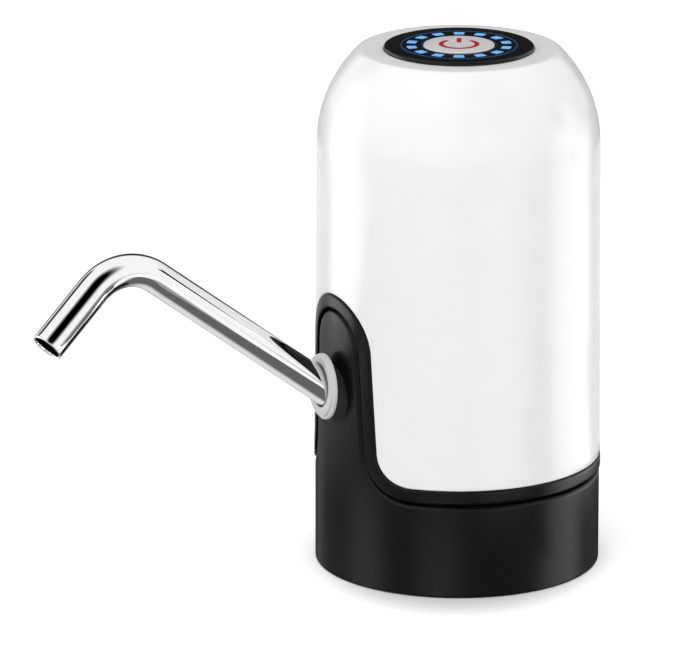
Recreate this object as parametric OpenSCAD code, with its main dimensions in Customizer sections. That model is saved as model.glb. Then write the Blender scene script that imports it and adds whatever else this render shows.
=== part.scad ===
// Electric water jug pump that sits on the neck of a large drinking water bottle.
// Millimetres, +Z up, spout towards -Y, origin at the centre of the base's underside.

/* [Body] */
// Outer radius of the white shell at its lower edge
shell_r = 35; // [34:0.1:37]
// How much the shell narrows up to where the dome begins
shell_taper = 0.55; // [0.2:0.05:1]
// Height at which the dome begins
dome_z = 105; // [100:0.5:112]
// Radius of the dome's curve
dome_curve_r = 32.5; // [31:0.1:34]
// Height of the dome's curve up to the flat top
dome_h = 23.5; // [22:0.1:25]
// Radius of the edge between the dome and the flat top
top_edge_r = 2; // [1:0.1:3]
// Wall of the white shell
shell_wall = 2; // [1.6:0.1:2.4]
// Thickness of the flat top
roof_t = 2.2; // [1.8:0.1:2.6]

/* [Base] */
// Step from the shell's radius in to the base's
base_step = 0.15; // [0.1:0.05:0.5]
// Wall of the black base
base_wall = 2.1; // [1.8:0.1:2.4]
// Height of the deck's upper side
deck_top = 23; // [22:0.5:26]
// Width of the ledge that carries the deck
ledge_w = 8.25; // [8:0.05:9]
// Thickness of the ledge
ledge_t = 2; // [1.5:0.1:3]
// Thickness of the deck
deck_t = 2.5; // [2:0.1:3.5]
// Height of the bottle seal
seal_h = 10; // [8:0.5:12]
// Thickness of the bottle seal
seal_t = 4.95; // [4.5:0.05:6]

/* [Seam and spout panel] */
// Height of the seam under the shell
seam_z = 27; // [26:0.5:30]
// Width of the black band between shell and base
band_w = 3.1; // [2.6:0.1:4]
// How far the band stands proud of the shell
band_proud = 0.1; // [0:0.05:0.3]
// Width and depth of the groove beside the band
groove_w = 0.8; // [0.4:0.1:1.2]
// Radius of the cut-out's arch
arch_r = 13.3; // [12.5:0.1:14]
// Height of the arch's centre
arch_z = 57.8; // [55:0.1:62]
// Lean of the cut-out's sides in degrees
arch_lean = 4.2; // [2:0.1:5]
// Radius of the sweep from the cut-out's sides into the seam
sweep_r = 8.2; // [6:0.1:9]
// Depth of the tongue that backs the band
tongue_t = 1.1; // [0.8:0.1:1.3]
// How far the tongue laps the shell and the base
tongue_lap = 2; // [1.5:0.1:2.5]

/* [Spout] */
// Outer radius of the spout tube
spout_r = 4; // [3.5:0.05:4.4]
// Wall of the spout tube
spout_wall = 0.5; // [0.4:0.05:1]
// Rise of the spout's long leg in degrees
spout_rise = 36.8; // [34:0.1:38]
// Height at which the spout's axis leaves the panel
spout_z = 47.6; // [46.5:0.1:49]
// Length of the long leg from the panel to the corner
spout_out = 69.4; // [60:0.1:80]
// Length of the short leg from the corner to the tip
spout_tip = 29.5; // [24:0.1:34]
// Angle of the bend in degrees
spout_bend = 77; // [70:0.1:95]
// How far the spout stands turned in its socket, in degrees
spout_turn = 9; // [-90:0.5:90]
// Radius of the bend at the tube's axis
spout_bend_r = 14.5; // [10:0.1:16]
// Depth to which the spout is pushed in
spout_in = 22; // [20:0.5:23]
// Outer radius of the socket that takes the spout
socket_r = 6.5; // [6.3:0.05:7]
// Radius of the round ends of the grommet's flange
grommet_r = 6.3; // [6.1:0.1:6.8]
// How far the grommet stands proud of the panel
grommet_proud = 3.9; // [3.4:0.1:4.4]

/* [Display] */
// Width of the white rim round the black window
rim_w = 5.4; // [4.8:0.1:6]
// How far the window stands proud of the flat top
lens_proud = 0.8; // [0.4:0.1:1.2]
// Thickness of the window
lens_t = 2.3; // [2:0.1:2.6]
// Number of lit segments
segment_count = 14; // [8:1:16]
// Distance from the window's edge to the lit segments
ring_margin = 5.15; // [4.5:0.05:5.5]
// Width of the lit segments
segment_w = 2.7; // [2.4:0.05:3]
// Angle that one lit segment spans, in degrees
segment_span = 14.5; // [10:0.5:17]
// Direction of the first lit segment, in degrees round from +X
segment_start = 330; // [0:1:359]
// Distance from the lit segments to the power button
button_margin = 1.7; // [1.6:0.05:2]
// How far the button stands proud of the window
button_proud = 0.2; // [0:0.1:0.5]
// Travel of the button
button_travel = 0.5; // [0.3:0.1:0.5]

/* [Pump and motor] */
// Place of the pump and motor axis along x
drive_x = -9.5; // [-10:0.1:-9]
// Place of the pump and motor axis along y
drive_y = 7; // [6.5:0.1:7.5]
// Radius of the pump
pump_r = 13; // [12.5:0.1:13.3]
// Height of the stand under the pump
stand_h = 10; // [9:0.5:11]
// Height of the pump head
head_h = 6; // [5.5:0.1:6.5]
// Height of the valve plate
valve_h = 2.5; // [2:0.1:3]
// Height of the bracket between valve plate and motor
bracket_h = 18.5; // [18:0.1:20]
// Radius of the motor can
motor_r = 12; // [11.5:0.1:12.5]
// Length of the motor can
motor_h = 30; // [28:0.5:32]
// Radius of the motor shaft
shaft_r = 1; // [0.9:0.05:1.2]
// Tilt of the wobble plate in degrees
wobble_tilt = 7; // [5:0.1:8]
// Radius of the wobble plate
wobble_r = 9.5; // [8.5:0.1:10]

/* [Battery and charging] */
// Place of the battery axis along x
cell_x = 15.5; // [15.3:0.1:16]
// Place of the battery axis along y
cell_y = 6; // [5:0.1:7]
// Radius of the battery
cell_r = 9.1; // [8.9:0.05:9.2]
// Length of the battery
cell_h = 65; // [60:0.5:68]
// Height of the charging socket's centre
usb_z = 72; // [68:0.5:76]

/* [Fits] */
// Gap between fixed pieces that meet
seat_gap = 0.1; // [0.05:0.05:0.15]
// Running clearance of shafts and of the crank pin
run_gap = 0.05; // [0.03:0.01:0.08]
// Clearance round the spout tube in its socket
spout_gap = 0.1; // [0.06:0.02:0.14]
// Clearance round the button
button_gap = 0.25; // [0.2:0.05:0.3]

/* [Hidden] */
$fn = 96;

// Heights of the body
top_z = dome_z + dome_h;
deck_z = deck_top - deck_t;
dome_foot_r = shell_r - shell_taper;
dome_axis_r = dome_foot_r - dome_curve_r;
flat_r = dome_axis_r + sqrt(pow(dome_curve_r - top_edge_r, 2) - pow(dome_h - top_edge_r, 2));
shell_lean = (shell_r - dome_foot_r) / (dome_z - seam_z);
base_r = shell_r - base_step;
panel_in_r = base_r - base_wall;
ledge_r = panel_in_r - ledge_w;
neck_r = panel_in_r - seat_gap / 2 - seal_t;
bead_h = 2;
bead_depth = 0.7;
band_r = shell_r + band_proud;
tongue_gap = 0.35;
tongue_r = dome_foot_r - shell_wall - tongue_gap;
overcut = 1;
sink = 1;
cut_r = shell_r + 5 * overcut;
sweep_z = seam_z + sweep_r;
sweep_x = (arch_z * sin(arch_lean) + arch_r + sweep_r - sweep_z * sin(arch_lean)) / cos(arch_lean);
sweep_steps = 14;
arch_steps = 30;
dome_steps = 18;
edge_steps = 6;
edge_skip = 5;
edge_min_r = 0.3;

// Screws that clamp base, deck and shell together
screw_inset = 4.75;
screw_ring_r = panel_in_r - screw_inset;
screw_angles = [60, 110, 200, 340];
screw_slot_w = 0.6;
screw_r = 1.25;
screw_head_r = 2.4;
screw_head_h = 2;
screw_grip = 14;
boss_r = 2.9;
boss_h = 19;
web_t = 1.6;
web_l = shell_r - shell_wall / 2 - screw_ring_r;
web_h = deck_top + boss_h - seam_z - 3 * tongue_lap;
hole_gap = 0.2;

// Spout
spout_lead = 1.65;
spout_axis_r = base_r + spout_lead;
bend_reach = spout_bend_r * tan(spout_bend / 2);
socket_room = 1.5;
socket_end = spout_in + socket_room;
socket_cap_t = 1.5;
ring_cord_r = 0.9;
ring_places = [13, 17.5];
ring_groove_r = spout_r + 2 * ring_cord_r + 1.5 * spout_gap;
ring_groove_w = ring_cord_r + spout_gap;
barb_r = 2.3;
barb_bore_r = 1.4;
barb_l = 4.5;
hose_wall = 1;
hose_bend_r = 6;
hose_seat = 0.3;
bend_thin = 0.02;
bend_lap = 1;
saddle_side = 0.5;
saddle_w = 2 * (socket_r + saddle_side);
saddle_h = 20;
saddle_drop = 3;
saddle_t = 1.7;
grommet_up = 1.1;
grommet_z = spout_z + grommet_up;
grommet_tall = 1.9;
grommet_flange_t = 0.9;
grommet_ring_t = 0.8;
grommet_ring_up = 0.4;
grommet_step = 0.5;
grommet_face = base_r + grommet_proud;
grommet_back = grommet_face - grommet_ring_t - grommet_flange_t;
grommet_slack = 0.4;
grommet_bore_r = spout_r + grommet_slack;
grommet_sleeve_t = 0.8;
grommet_sleeve_r = grommet_bore_r + grommet_sleeve_t;
grommet_reach = 12;
collar_wall = 0.9;
collar_r = grommet_sleeve_r + seat_gap / 2 + collar_wall;

// Pump stack
stand_z = deck_top;
stand_wall = 2;
window_w = 2 * pump_r / 3;
head_z = stand_z + stand_h;
valve_z = head_z + head_h;
bracket_z = valve_z + valve_h;
motor_z = bracket_z + bracket_h;
cap_z = motor_z + motor_h;
cap_t = 2;
cap_hub_h = 2.6;
hub_r = 4;
inlet_r = 2.6;
inlet_bore_r = 1.6;
inlet_l = 4;
lug_r = 2.3;
lug_web_w = 3.4;
lug_angles = [60, 180, 300];
lug_h = 3;
pump_screw_r = 0.95;
pump_screw_head_r = 1.8;
pump_screw_head_h = 1.5;
pump_screw_short = 1;
lug_gap = 0.2;
lug_ring_r = pump_r + pump_screw_head_r + lug_gap;
bracket_wall = 1.6;
bracket_top_t = 1.5;
bracket_rail = 2;
membrane_t = 1;
cup_r = 3.6;
cup_ring_r = 5.4;
cup_gap = 0.3;
flap_t = 0.6;
flap_r = 10;
flap_slit_r = 2.6;
flap_slit_w = 0.5;
flap_hinge_w = 1.6;
valve_hole_r = 0.6;
valve_hole_ring_r = 1.6;
wobble_t = 2;
pivot_up = 5;
wobble_z = bracket_z + pivot_up;
eccentric_r = 5.5;
eccentric_up = 4;
eccentric_z = wobble_z + eccentric_up;
eccentric_gap = 1;
eccentric_top = motor_z - bracket_top_t - eccentric_gap;
pin_r = 1;
pin_l = 8;
pin_boss_r = 2.5;
pin_boss_h = 1.4;
shaft_below = 0.3;
shaft_in = 2.5;
bush_r = 2.6;
bush_h = 2.8;
bush_recess = 0.6;
can_wall = 1;
can_front_t = 1.2;
magnet_t = 2.3;
magnet_h = 22;
magnet_span = 130;
air_gap = 0.4;
core_h = 20;
core_up = 5;
core_z = motor_z + core_up;
core_r = motor_r - can_wall - seat_gap - magnet_t - air_gap;
core_slots = 6;
core_slot_w = 1;
commutator_r = 3;
commutator_h = 2.5;
terminal_x = 6;
terminal_t = 0.5;
terminal_w = 2;
terminal_slot_t = terminal_t + seat_gap;
terminal_slot_w = terminal_w + seat_gap;
terminal_up = 4;
outlet_side = 6;
outlet_in = 5;
outlet_x = drive_x - outlet_side;
outlet_z = head_z + head_h / 2;
barb_along = (spout_z - outlet_z) / sin(spout_rise);
barb_y = -spout_axis_r + barb_along * cos(spout_rise);
barb_end_x = outlet_x + hose_bend_r;
outlet_y = drive_y - sqrt(pow(pump_r, 2) - pow(outlet_x - drive_x, 2));
nipple_r = 3.2;
nipple_l = 5.4;
nipple_lead = 0.6;
nipple_flange_r = 6;
nipple_flange_t = 1.5;
washer_t = 0.5;
washer_inset = 0.5;
wire_r = 0.6;
wire_gap = 0.3;

// Battery and charging
cradle_floor = 2;
cradle_wall = 1.3;
cradle_h = 17;
cradle_slot_angle = 100;
cradle_slot_w = 4;
tab_t = 0.2;
tab_w = 3;
tab_reach = cell_r + wire_r + wire_gap;
cell_cap_h = 1.5;
cell_z = deck_top + cradle_floor + tab_t;
usb_w = 9;
usb_h = 3.2;
usb_l = 7.4;
usb_recess = 1.2;
usb_skin = 0.4;
usb_tongue_t = 0.8;
usb_depth = 5.4;
usb_back_y = shell_r - usb_recess - usb_l;
charge_w = 16;
charge_t = 1.2;
charge_l = 7.8;
charge_lap = 3.4;
charge_y = usb_back_y - charge_lap;
charge_z = usb_z - usb_h / 2 - charge_t;
shelf_h = 1.7;
shelf_w = 2;
shelf_x = (charge_w - shelf_w) / 2;
shelf_in = 2;
shelf_sink = 0.6;
shelf_l = sqrt(pow(shell_r - shell_wall, 2) - pow(charge_w / 2, 2)) - charge_y - shelf_in + shelf_sink;
charge_lead_x = 4;
charge_lead_in = 1;
charge_lead_y = charge_y + charge_lead_in;

// Display
lens_r = flat_r - rim_w;
segment_out_r = lens_r - ring_margin;
segment_in_r = segment_out_r - segment_w;
segment_mid_r = segment_out_r - segment_w / 2;
button_r = segment_in_r - button_margin;
button_edge = 0.2;
lens_edge = 0.3;
lens_top = top_z + lens_proud;
lens_z = lens_top - lens_t;
roof_z = top_z - roof_t;
lens_lip = 1;
guide_t = 1;
guide_gap = 0.3;
guide_out_r = lens_r - lens_lip - guide_gap;
guide_in_r = segment_in_r - guide_gap;
guide_leg_r = 1.2;
guide_leg_ring_r = guide_out_r - guide_leg_r - guide_gap;
board_t = 1.6;
board_drop = 6;
board_z = lens_z - board_drop;
board_top = board_z + board_t;
board_gap = 1.85;
board_r = dome_axis_r + sqrt(pow(dome_curve_r - shell_wall, 2) - pow(board_top - dome_z, 2)) - board_gap;
post_inset = 3.8;
post_ring_r = board_r - post_inset;
post_r = 2.2;
post_angles = [20, 140, 260];
board_screw_r = 0.95;
board_screw_head_r = 1.9;
board_screw_head_h = 1.5;
board_screw_short = 1.5;
switch_w = 6;
switch_h = 2;
switch_floor = 0.4;
plunger_r = 1.4;
plunger_l = 1.6;
plunger_spare = 0.3;
plunger_up = button_travel + plunger_spare;
flange_gap = 0.1;
flange_t = 0.7;
flange_w = 0.95;
flange_r = button_r + flange_w;
stem_r = 2;
chip_l = 2;
chip_w = 1.6;
chip_h = 0.9;
solder_t = 0.05;

// Points of an arc from angle a to angle b about a centre
function arc(centre, r, a, b, steps) =
  [for (i = [0:steps]) centre + r * [cos(a + (b - a) * i / steps), sin(a + (b - a) * i / steps)]];

// Point at radius r and angle a, on the ground plane
function polar(r, a) = [r * cos(a), r * sin(a)];

// Radius of the shell's outer wall at a height below the dome
function wall_r(z) = shell_r - (z - seam_z) * shell_lean;

// Outline of the spout cut-out, drawn in by d all round
function panel_outline(d) = concat(
  arc([sweep_x, sweep_z], sweep_r + d, 270, 180 + arch_lean, sweep_steps),
  arc([0, arch_z], arch_r - d, arch_lean, 180 - arch_lean, arch_steps),
  arc([-sweep_x, sweep_z], sweep_r + d, 360 - arch_lean, 270, sweep_steps)
);

// Space in front of the body behind the cut-out's outline, with all that lies below the seam
module panel_space(d) {
  rotate([90, 0, 0])
    linear_extrude(height = cut_r)
      union() {
        polygon(panel_outline(d));
        translate([-sweep_x, seam_z - d - overcut])
          square([2 * sweep_x, overcut]);
      }
  translate([0, 0, seam_z - d - 2 * deck_top])
    cylinder(r = cut_r, h = 2 * deck_top);
}

module tube(r_out, r_in, h) {
  difference() {
    cylinder(r = r_out, h = h);
    translate([0, 0, -overcut])
      cylinder(r = r_in, h = h + 2 * overcut);
  }
}

// A tube along x that bends towards -y at the origin
// The bend's wall is drawn a little thinner, as in a real bend, and laps both straight stretches
module bent_tube(r_out, r_in, in_l, out_l, bend_r, bend) {
  union() {
    translate([-in_l, 0, 0])
      rotate([0, 90, 0])
        tube(r_out, r_in, in_l);
    translate([0, -bend_r, 0])
      rotate([0, 0, 90 - bend - bend_lap])
        rotate_extrude(angle = bend + 2 * bend_lap)
          translate([bend_r, 0])
            difference() {
              circle(r = r_out - bend_thin);
              circle(r = r_in + bend_thin);
            }
    translate([0, -bend_r, 0])
      rotate([0, 0, -bend])
        translate([0, bend_r, 0])
          rotate([0, 90, 0])
            tube(r_out, r_in, out_l);
  }
}

// The vertical plane through the spout: x runs outwards along the tube from the panel, y upwards from it
module in_spout_frame() {
  rotate([90, 0, -90])
    translate([spout_axis_r, spout_z, 0])
      rotate([0, 0, spout_rise])
        children();
}

// A round bar along x from x0 to x1
module bar_x(r, x0, x1) {
  translate([x0, 0, 0])
    rotate([0, 90, 0])
      cylinder(r = r, h = x1 - x0);
}

module at_drive(z) {
  translate([drive_x, drive_y, z])
    children();
}

module at_angles(ring_r, angles) {
  for (a = angles)
    translate(polar(ring_r, a))
      children();
}

// The frame of the wobble plate: its own axis is tilted about the pivot
module in_wobble_frame() {
  at_drive(wobble_z)
    rotate([0, wobble_tilt, 0])
      children();
}

// Half section of the dome, drawn in by d, from height z0 up
module dome_section(d, z0, z1) {
  foot = [wall_r(z0) - d, z0];
  edge_r = max(top_edge_r - d, edge_min_r);
  edge_z = z1 - edge_r;
  edge_x = dome_axis_r + sqrt(pow(dome_curve_r - d - edge_r, 2) - pow(edge_z - dome_z, 2));
  edge_a = atan2(edge_z - dome_z, edge_x - dome_axis_r);
  polygon(concat(
    [[0, z0], foot],
    arc([dome_axis_r, dome_z], dome_curve_r - d, 0, edge_a, dome_steps),
    arc([edge_x, edge_z], edge_r, edge_a + edge_skip, 90, edge_steps),
    [[0, z1]]
  ));
}

module upper_shell() {
  color("white")
    difference() {
      union() {
        difference() {
          rotate_extrude()
            difference() {
              dome_section(0, seam_z, top_z);
              dome_section(shell_wall, seam_z - overcut, roof_z);
            }
          panel_space(-seat_gap);
        }
        at_angles(screw_ring_r, screw_angles)
          translate([0, 0, deck_top])
            cylinder(r = boss_r, h = boss_h);
        for (a = screw_angles)
          rotate([0, 0, a])
            translate([screw_ring_r, -web_t / 2, seam_z + 2 * tongue_lap])
              cube([web_l, web_t, web_h]);
        at_angles(post_ring_r, post_angles)
          translate([0, 0, board_top])
            cylinder(r = post_r, h = roof_z - board_top + roof_t / 2);
        for (side = [-1, 1])
          translate([side * shelf_x - shelf_w / 2, charge_y + shelf_in, charge_z - shelf_h])
            cube([shelf_w, shelf_l, shelf_h]);
      }
      translate([0, 0, lens_z])
        cylinder(r = lens_r + seat_gap, h = lens_t);
      translate([0, 0, roof_z - overcut])
        cylinder(r = lens_r - lens_lip, h = roof_t + overcut);
      at_angles(screw_ring_r, screw_angles)
        translate([0, 0, deck_top - overcut])
          cylinder(r = screw_r + run_gap, h = screw_grip + 2 * overcut);
      at_angles(post_ring_r, post_angles)
        translate([0, 0, board_top - overcut])
          cylinder(r = board_screw_r + run_gap, h = lens_z - board_top);
      translate([0, shell_r, usb_z])
        rotate([90, 0, 0])
          usb_prism(hole_gap, usb_l);
    }
}

// A bar with the charging plug's outline, grown by g
module usb_prism(g, l) {
  linear_extrude(height = l)
    union() {
      square([usb_w - usb_h, usb_h + 2 * g], center = true);
      for (side = [-1, 1])
        translate([side * (usb_w - usb_h) / 2, 0])
          circle(r = usb_h / 2 + g);
    }
}

module base_housing() {
  color([0.1, 0.1, 0.1])
    difference() {
      union() {
        intersection() {
          tube(base_r, panel_in_r, arch_z + arch_r);
          panel_space(band_w + seat_gap);
        }
        translate([0, 0, deck_z - ledge_t])
          tube(panel_in_r + base_wall / 2, ledge_r, ledge_t);
        collar_bar(collar_r, panel_in_r + base_wall / 2, grommet_back - seat_gap);
      }
      difference() {
        tube(base_r + overcut, base_r - groove_w, arch_z + arch_r);
        panel_space(band_w + groove_w);
      }
      translate([0, 0, seal_h / 2 - bead_h / 2])
        cylinder(r = panel_in_r + bead_depth, h = bead_h);
      at_angles(screw_ring_r, screw_angles)
        translate([0, 0, deck_z - ledge_t - overcut])
          cylinder(r = screw_r + hole_gap, h = ledge_t + 2 * overcut);
      in_spout_frame()
        bar_x(grommet_sleeve_r + seat_gap / 2, -spout_in, spout_in);
    }
}

// Soft sleeve that grips the bottle's neck, with a bead that snaps into the base
module bottle_seal() {
  color([0.75, 0.75, 0.73])
    union() {
      tube(panel_in_r - seat_gap / 2, neck_r, seal_h);
      translate([0, 0, seal_h / 2 - bead_h / 2 + seat_gap / 2])
        tube(panel_in_r + bead_depth - seat_gap / 2, panel_in_r - base_wall / 2, bead_h - seat_gap);
    }
}

module seam_band() {
  color([0.13, 0.13, 0.13])
    union() {
      intersection() {
        tube(band_r, tongue_r - tongue_t, arch_z + arch_r + overcut);
        difference() {
          panel_space(0);
          panel_space(band_w);
        }
      }
      intersection() {
        tube(tongue_r, tongue_r - tongue_t, arch_z + arch_r + tongue_lap + overcut);
        difference() {
          panel_space(-tongue_lap);
          panel_space(band_w + tongue_lap);
        }
      }
    }
}

module deck_plate() {
  color([0.2, 0.2, 0.2])
    difference() {
      translate([0, 0, deck_z])
        cylinder(r = tongue_r - tongue_t - 4 * seat_gap, h = deck_t);
      at_angles(screw_ring_r, screw_angles)
        translate([0, 0, deck_z - overcut])
          cylinder(r = screw_r + hole_gap, h = deck_t + 2 * overcut);
      at_drive(deck_z - overcut)
        cylinder(r = inlet_r + hole_gap, h = deck_t + 2 * overcut);
    }
}

module case_screws() {
  color("silver")
    at_angles(screw_ring_r, screw_angles)
      translate([0, 0, deck_z - ledge_t])
        union() {
          translate([0, 0, -screw_head_h])
            difference() {
              cylinder(r = screw_head_r, h = screw_head_h);
              for (turn = [0, 90])
                rotate([0, 0, turn])
                  translate([-screw_r, -screw_slot_w / 2, -overcut])
                    cube([2 * screw_r, screw_slot_w, 2 * overcut]);
            }
          cylinder(r = screw_r, h = ledge_t + deck_t + screw_grip);
        }
}

module suction_nipple() {
  color([0.85, 0.85, 0.85])
    at_drive(deck_z - washer_t)
      difference() {
        union() {
          translate([0, 0, -nipple_flange_t])
            cylinder(r = nipple_flange_r, h = nipple_flange_t);
          translate([0, 0, -nipple_flange_t - nipple_l])
            cylinder(r = nipple_r, h = nipple_l + nipple_flange_t / 2);
          translate([0, 0, -nipple_flange_t - nipple_l - nipple_lead])
            cylinder(r1 = nipple_r - nipple_lead, r2 = nipple_r, h = nipple_lead);
          cylinder(r = inlet_r, h = washer_t + deck_t + inlet_l);
        }
        translate([0, 0, -nipple_flange_t - nipple_l - 2 * overcut])
          cylinder(
            r = inlet_bore_r,
            h = nipple_flange_t + nipple_l + washer_t + deck_t + inlet_l + 3 * overcut
          );
      }
}

module nipple_seal() {
  color([0.8, 0.3, 0.2])
    at_drive(deck_z - washer_t)
      tube(nipple_flange_r - washer_inset, inlet_r + seat_gap / 2, washer_t);
}

module suction_hose() {
  color([0.9, 0.9, 0.85])
    at_drive(deck_top + seat_gap)
      tube(inlet_r + hose_wall, inlet_r + seat_gap / 2, stand_h - 2 * seat_gap);
}

module delivery_hose() {
  hose_r = barb_r + hose_wall;
  start_y = drive_y - sqrt(pow(pump_r, 2) - pow(drive_x - outlet_x - hose_r, 2)) - hose_seat;
  end_x = -socket_r - hose_seat;
  color([0.9, 0.9, 0.85])
    translate([outlet_x, barb_y + hose_bend_r, outlet_z])
      rotate([180, 0, -90])
        bent_tube(
          hose_r,
          barb_r + seat_gap / 2,
          start_y - barb_y - hose_bend_r,
          end_x - outlet_x - hose_bend_r,
          hose_bend_r,
          90
        );
}

module spout_socket() {
  color([0.25, 0.25, 0.25])
    difference() {
      union() {
        intersection() {
          union() {
            in_spout_frame()
              bar_x(socket_r, -socket_end - socket_cap_t, 0);
            difference() {
              translate([-saddle_w / 2, -base_r, spout_z - saddle_drop - saddle_h / 2])
                cube([saddle_w, base_r, saddle_h]);
              cylinder(r = panel_in_r - saddle_t, h = 3 * arch_z);
            }
          }
          cylinder(r = panel_in_r - seat_gap / 2, h = 3 * arch_z);
        }
        translate([0, barb_y, outlet_z])
          bar_x(barb_r, barb_end_x, 0);
      }
      in_spout_frame()
        union() {
          bar_x(spout_r + spout_gap, -socket_end, socket_r);
          for (place = ring_places)
            bar_x(ring_groove_r, -place - ring_groove_w, -place + ring_groove_w);
        }
      translate([0, barb_y, outlet_z])
        bar_x(barb_bore_r, barb_end_x - overcut, 0);
    }
}

// A bar along the spout's axis, from the radius r0 about the body's axis out to the upright plane y1
module collar_bar(r, r0, y1) {
  difference() {
    in_spout_frame()
      bar_x(r, -grommet_reach, grommet_reach);
    cylinder(r = r0, h = 3 * arch_z);
    translate([-cut_r, -y1 - cut_r, 0])
      cube([2 * cut_r, cut_r, 3 * arch_z]);
  }
}

// An upright oval plate between two distances from the body's axis, with round ends of radius r
module oval_plate(r, z, y0, y1) {
  translate([0, -y0, z])
    rotate([90, 0, 0])
      linear_extrude(height = y1 - y0)
        union() {
          square([2 * r, 2 * grommet_tall], center = true);
          for (side = [-1, 1])
            translate([0, side * grommet_tall])
              circle(r = r);
        }
}

module spout_grommet() {
  color([0.85, 0.85, 0.85])
    difference() {
      union() {
        oval_plate(grommet_r, grommet_z, grommet_back, grommet_back + grommet_flange_t);
        oval_plate(grommet_r - grommet_step, grommet_z + grommet_ring_up, grommet_back, grommet_face);
        collar_bar(grommet_sleeve_r, panel_in_r + seat_gap / 2, grommet_back + grommet_flange_t / 2);
      }
      in_spout_frame()
        bar_x(grommet_bore_r, -spout_in, spout_in);
    }
}

module spout_o_rings() {
  color([0.15, 0.15, 0.15])
    in_spout_frame()
      for (place = ring_places)
        translate([-place, 0, 0])
          rotate([0, 90, 0])
            rotate_extrude()
              translate([spout_r + spout_gap / 2 + ring_cord_r, 0])
                circle(r = ring_cord_r, $fn = 32);
}

module spout_tube() {
  straight = spout_out - bend_reach;
  color("silver")
    in_spout_frame()
      rotate([spout_turn, 0, 0])
        translate([straight, 0, 0])
          bent_tube(
            spout_r,
            spout_r - spout_wall,
            spout_in + straight,
            spout_tip - bend_reach,
            spout_bend_r,
            spout_bend
          );
}

module pump_stand() {
  color([0.3, 0.3, 0.32])
    at_drive(stand_z)
      difference() {
        tube(pump_r, pump_r - stand_wall, stand_h);
        translate([-2 * pump_r, -window_w / 2, stand_wall])
          cube([4 * pump_r, window_w, stand_h - 2 * stand_wall]);
      }
}

// A round plate of the pump with its three screw lugs
module pump_plate(r, h) {
  linear_extrude(height = h)
    union() {
      circle(r = r);
      for (a = lug_angles)
        rotate(a)
          union() {
            translate([lug_ring_r, 0])
              circle(r = lug_r);
            translate([r / 2, -lug_web_w / 2])
              square([lug_ring_r - r / 2, lug_web_w]);
          }
    }
}

module pump_screw_holes(h) {
  at_angles(lug_ring_r, lug_angles)
    translate([0, 0, -overcut])
      cylinder(r = pump_screw_r + run_gap, h = h + 2 * overcut);
}

module pump_head() {
  color([0.15, 0.15, 0.17])
    difference() {
      union() {
        at_drive(head_z)
          pump_plate(pump_r, head_h);
        at_drive(head_z - inlet_l)
          cylinder(r = inlet_r, h = inlet_l + sink);
        translate([outlet_x, outlet_y - barb_l, outlet_z])
          rotate([-90, 0, 0])
            cylinder(r = barb_r, h = barb_l + outlet_in - sink);
      }
      at_drive(head_z)
        pump_screw_holes(head_h);
      at_drive(head_z - inlet_l - overcut)
        cylinder(r = inlet_bore_r, h = inlet_l + head_h);
      at_drive(valve_z - flap_t - seat_gap)
        cylinder(r = flap_r + seat_gap, h = flap_t + overcut);
      translate([outlet_x, outlet_y - barb_l - overcut, outlet_z])
        rotate([-90, 0, 0])
          cylinder(r = barb_bore_r, h = overcut + barb_l + outlet_in + barb_bore_r);
      translate([outlet_x, outlet_y + outlet_in, outlet_z])
        cylinder(r = barb_bore_r, h = head_h);
    }
}

module valve_flaps() {
  color([0.1, 0.1, 0.1])
    at_drive(valve_z - flap_t - seat_gap / 2)
      difference() {
        cylinder(r = flap_r, h = flap_t);
        for (a = lug_angles)
          rotate([0, 0, a])
            translate([cup_ring_r, 0, -overcut])
              difference() {
                tube(flap_slit_r, flap_slit_r - flap_slit_w, flap_t + 2 * overcut);
                translate([0, -flap_hinge_w / 2, 0])
                  cube([cup_r, flap_hinge_w, flap_t + 2 * overcut]);
              }
      }
}

module valve_plate() {
  color([0.9, 0.9, 0.88])
    at_drive(valve_z)
      difference() {
        pump_plate(pump_r, valve_h);
        pump_screw_holes(valve_h);
        at_angles(cup_ring_r, lug_angles)
          at_angles(valve_hole_ring_r, lug_angles)
            translate([0, 0, -overcut])
              cylinder(r = valve_hole_r, h = valve_h + 2 * overcut);
      }
}

module diaphragm() {
  color([0.12, 0.12, 0.12])
    difference() {
      at_drive(bracket_z)
        union() {
          cylinder(r = pump_r - bracket_wall - seat_gap, h = membrane_t);
          at_angles(cup_ring_r, lug_angles)
            cylinder(r = cup_r, h = wobble_z - bracket_z);
        }
      in_wobble_frame()
        translate([0, 0, -wobble_t / 2 - cup_gap])
          cylinder(r = 2 * pump_r, h = 4 * wobble_t);
    }
}

module pump_bracket() {
  color([0.2, 0.2, 0.22])
    at_drive(bracket_z)
      difference() {
        union() {
          cylinder(r = pump_r, h = bracket_h);
          pump_plate(pump_r - bracket_wall / 2, lug_h);
        }
        translate([0, 0, -overcut])
          cylinder(r = pump_r - bracket_wall, h = bracket_h - bracket_top_t + overcut);
        cylinder(r = bush_r + seat_gap / 2, h = bracket_h + overcut);
        pump_screw_holes(lug_h);
        translate([-2 * pump_r, -pump_r / 2, lug_h + bracket_rail])
          cube([4 * pump_r, pump_r, bracket_h - bracket_top_t - lug_h - 2 * bracket_rail]);
      }
}

module pump_screws() {
  color("silver")
    at_drive(bracket_z + lug_h)
      at_angles(lug_ring_r, lug_angles)
        union() {
          cylinder(r = pump_screw_head_r, h = pump_screw_head_h);
          translate([0, 0, pump_screw_short - lug_h - valve_h - head_h])
            cylinder(r = pump_screw_r, h = lug_h + valve_h + head_h);
        }
}

module wobble_plate() {
  color([0.92, 0.92, 0.9])
    in_wobble_frame()
      difference() {
        union() {
          translate([0, 0, -wobble_t / 2])
            cylinder(r = wobble_r, h = wobble_t);
          cylinder(r = pin_boss_r, h = wobble_t / 2 + pin_boss_h);
        }
        cylinder(r = pin_r + run_gap / 2, h = pin_l);
      }
}

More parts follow.
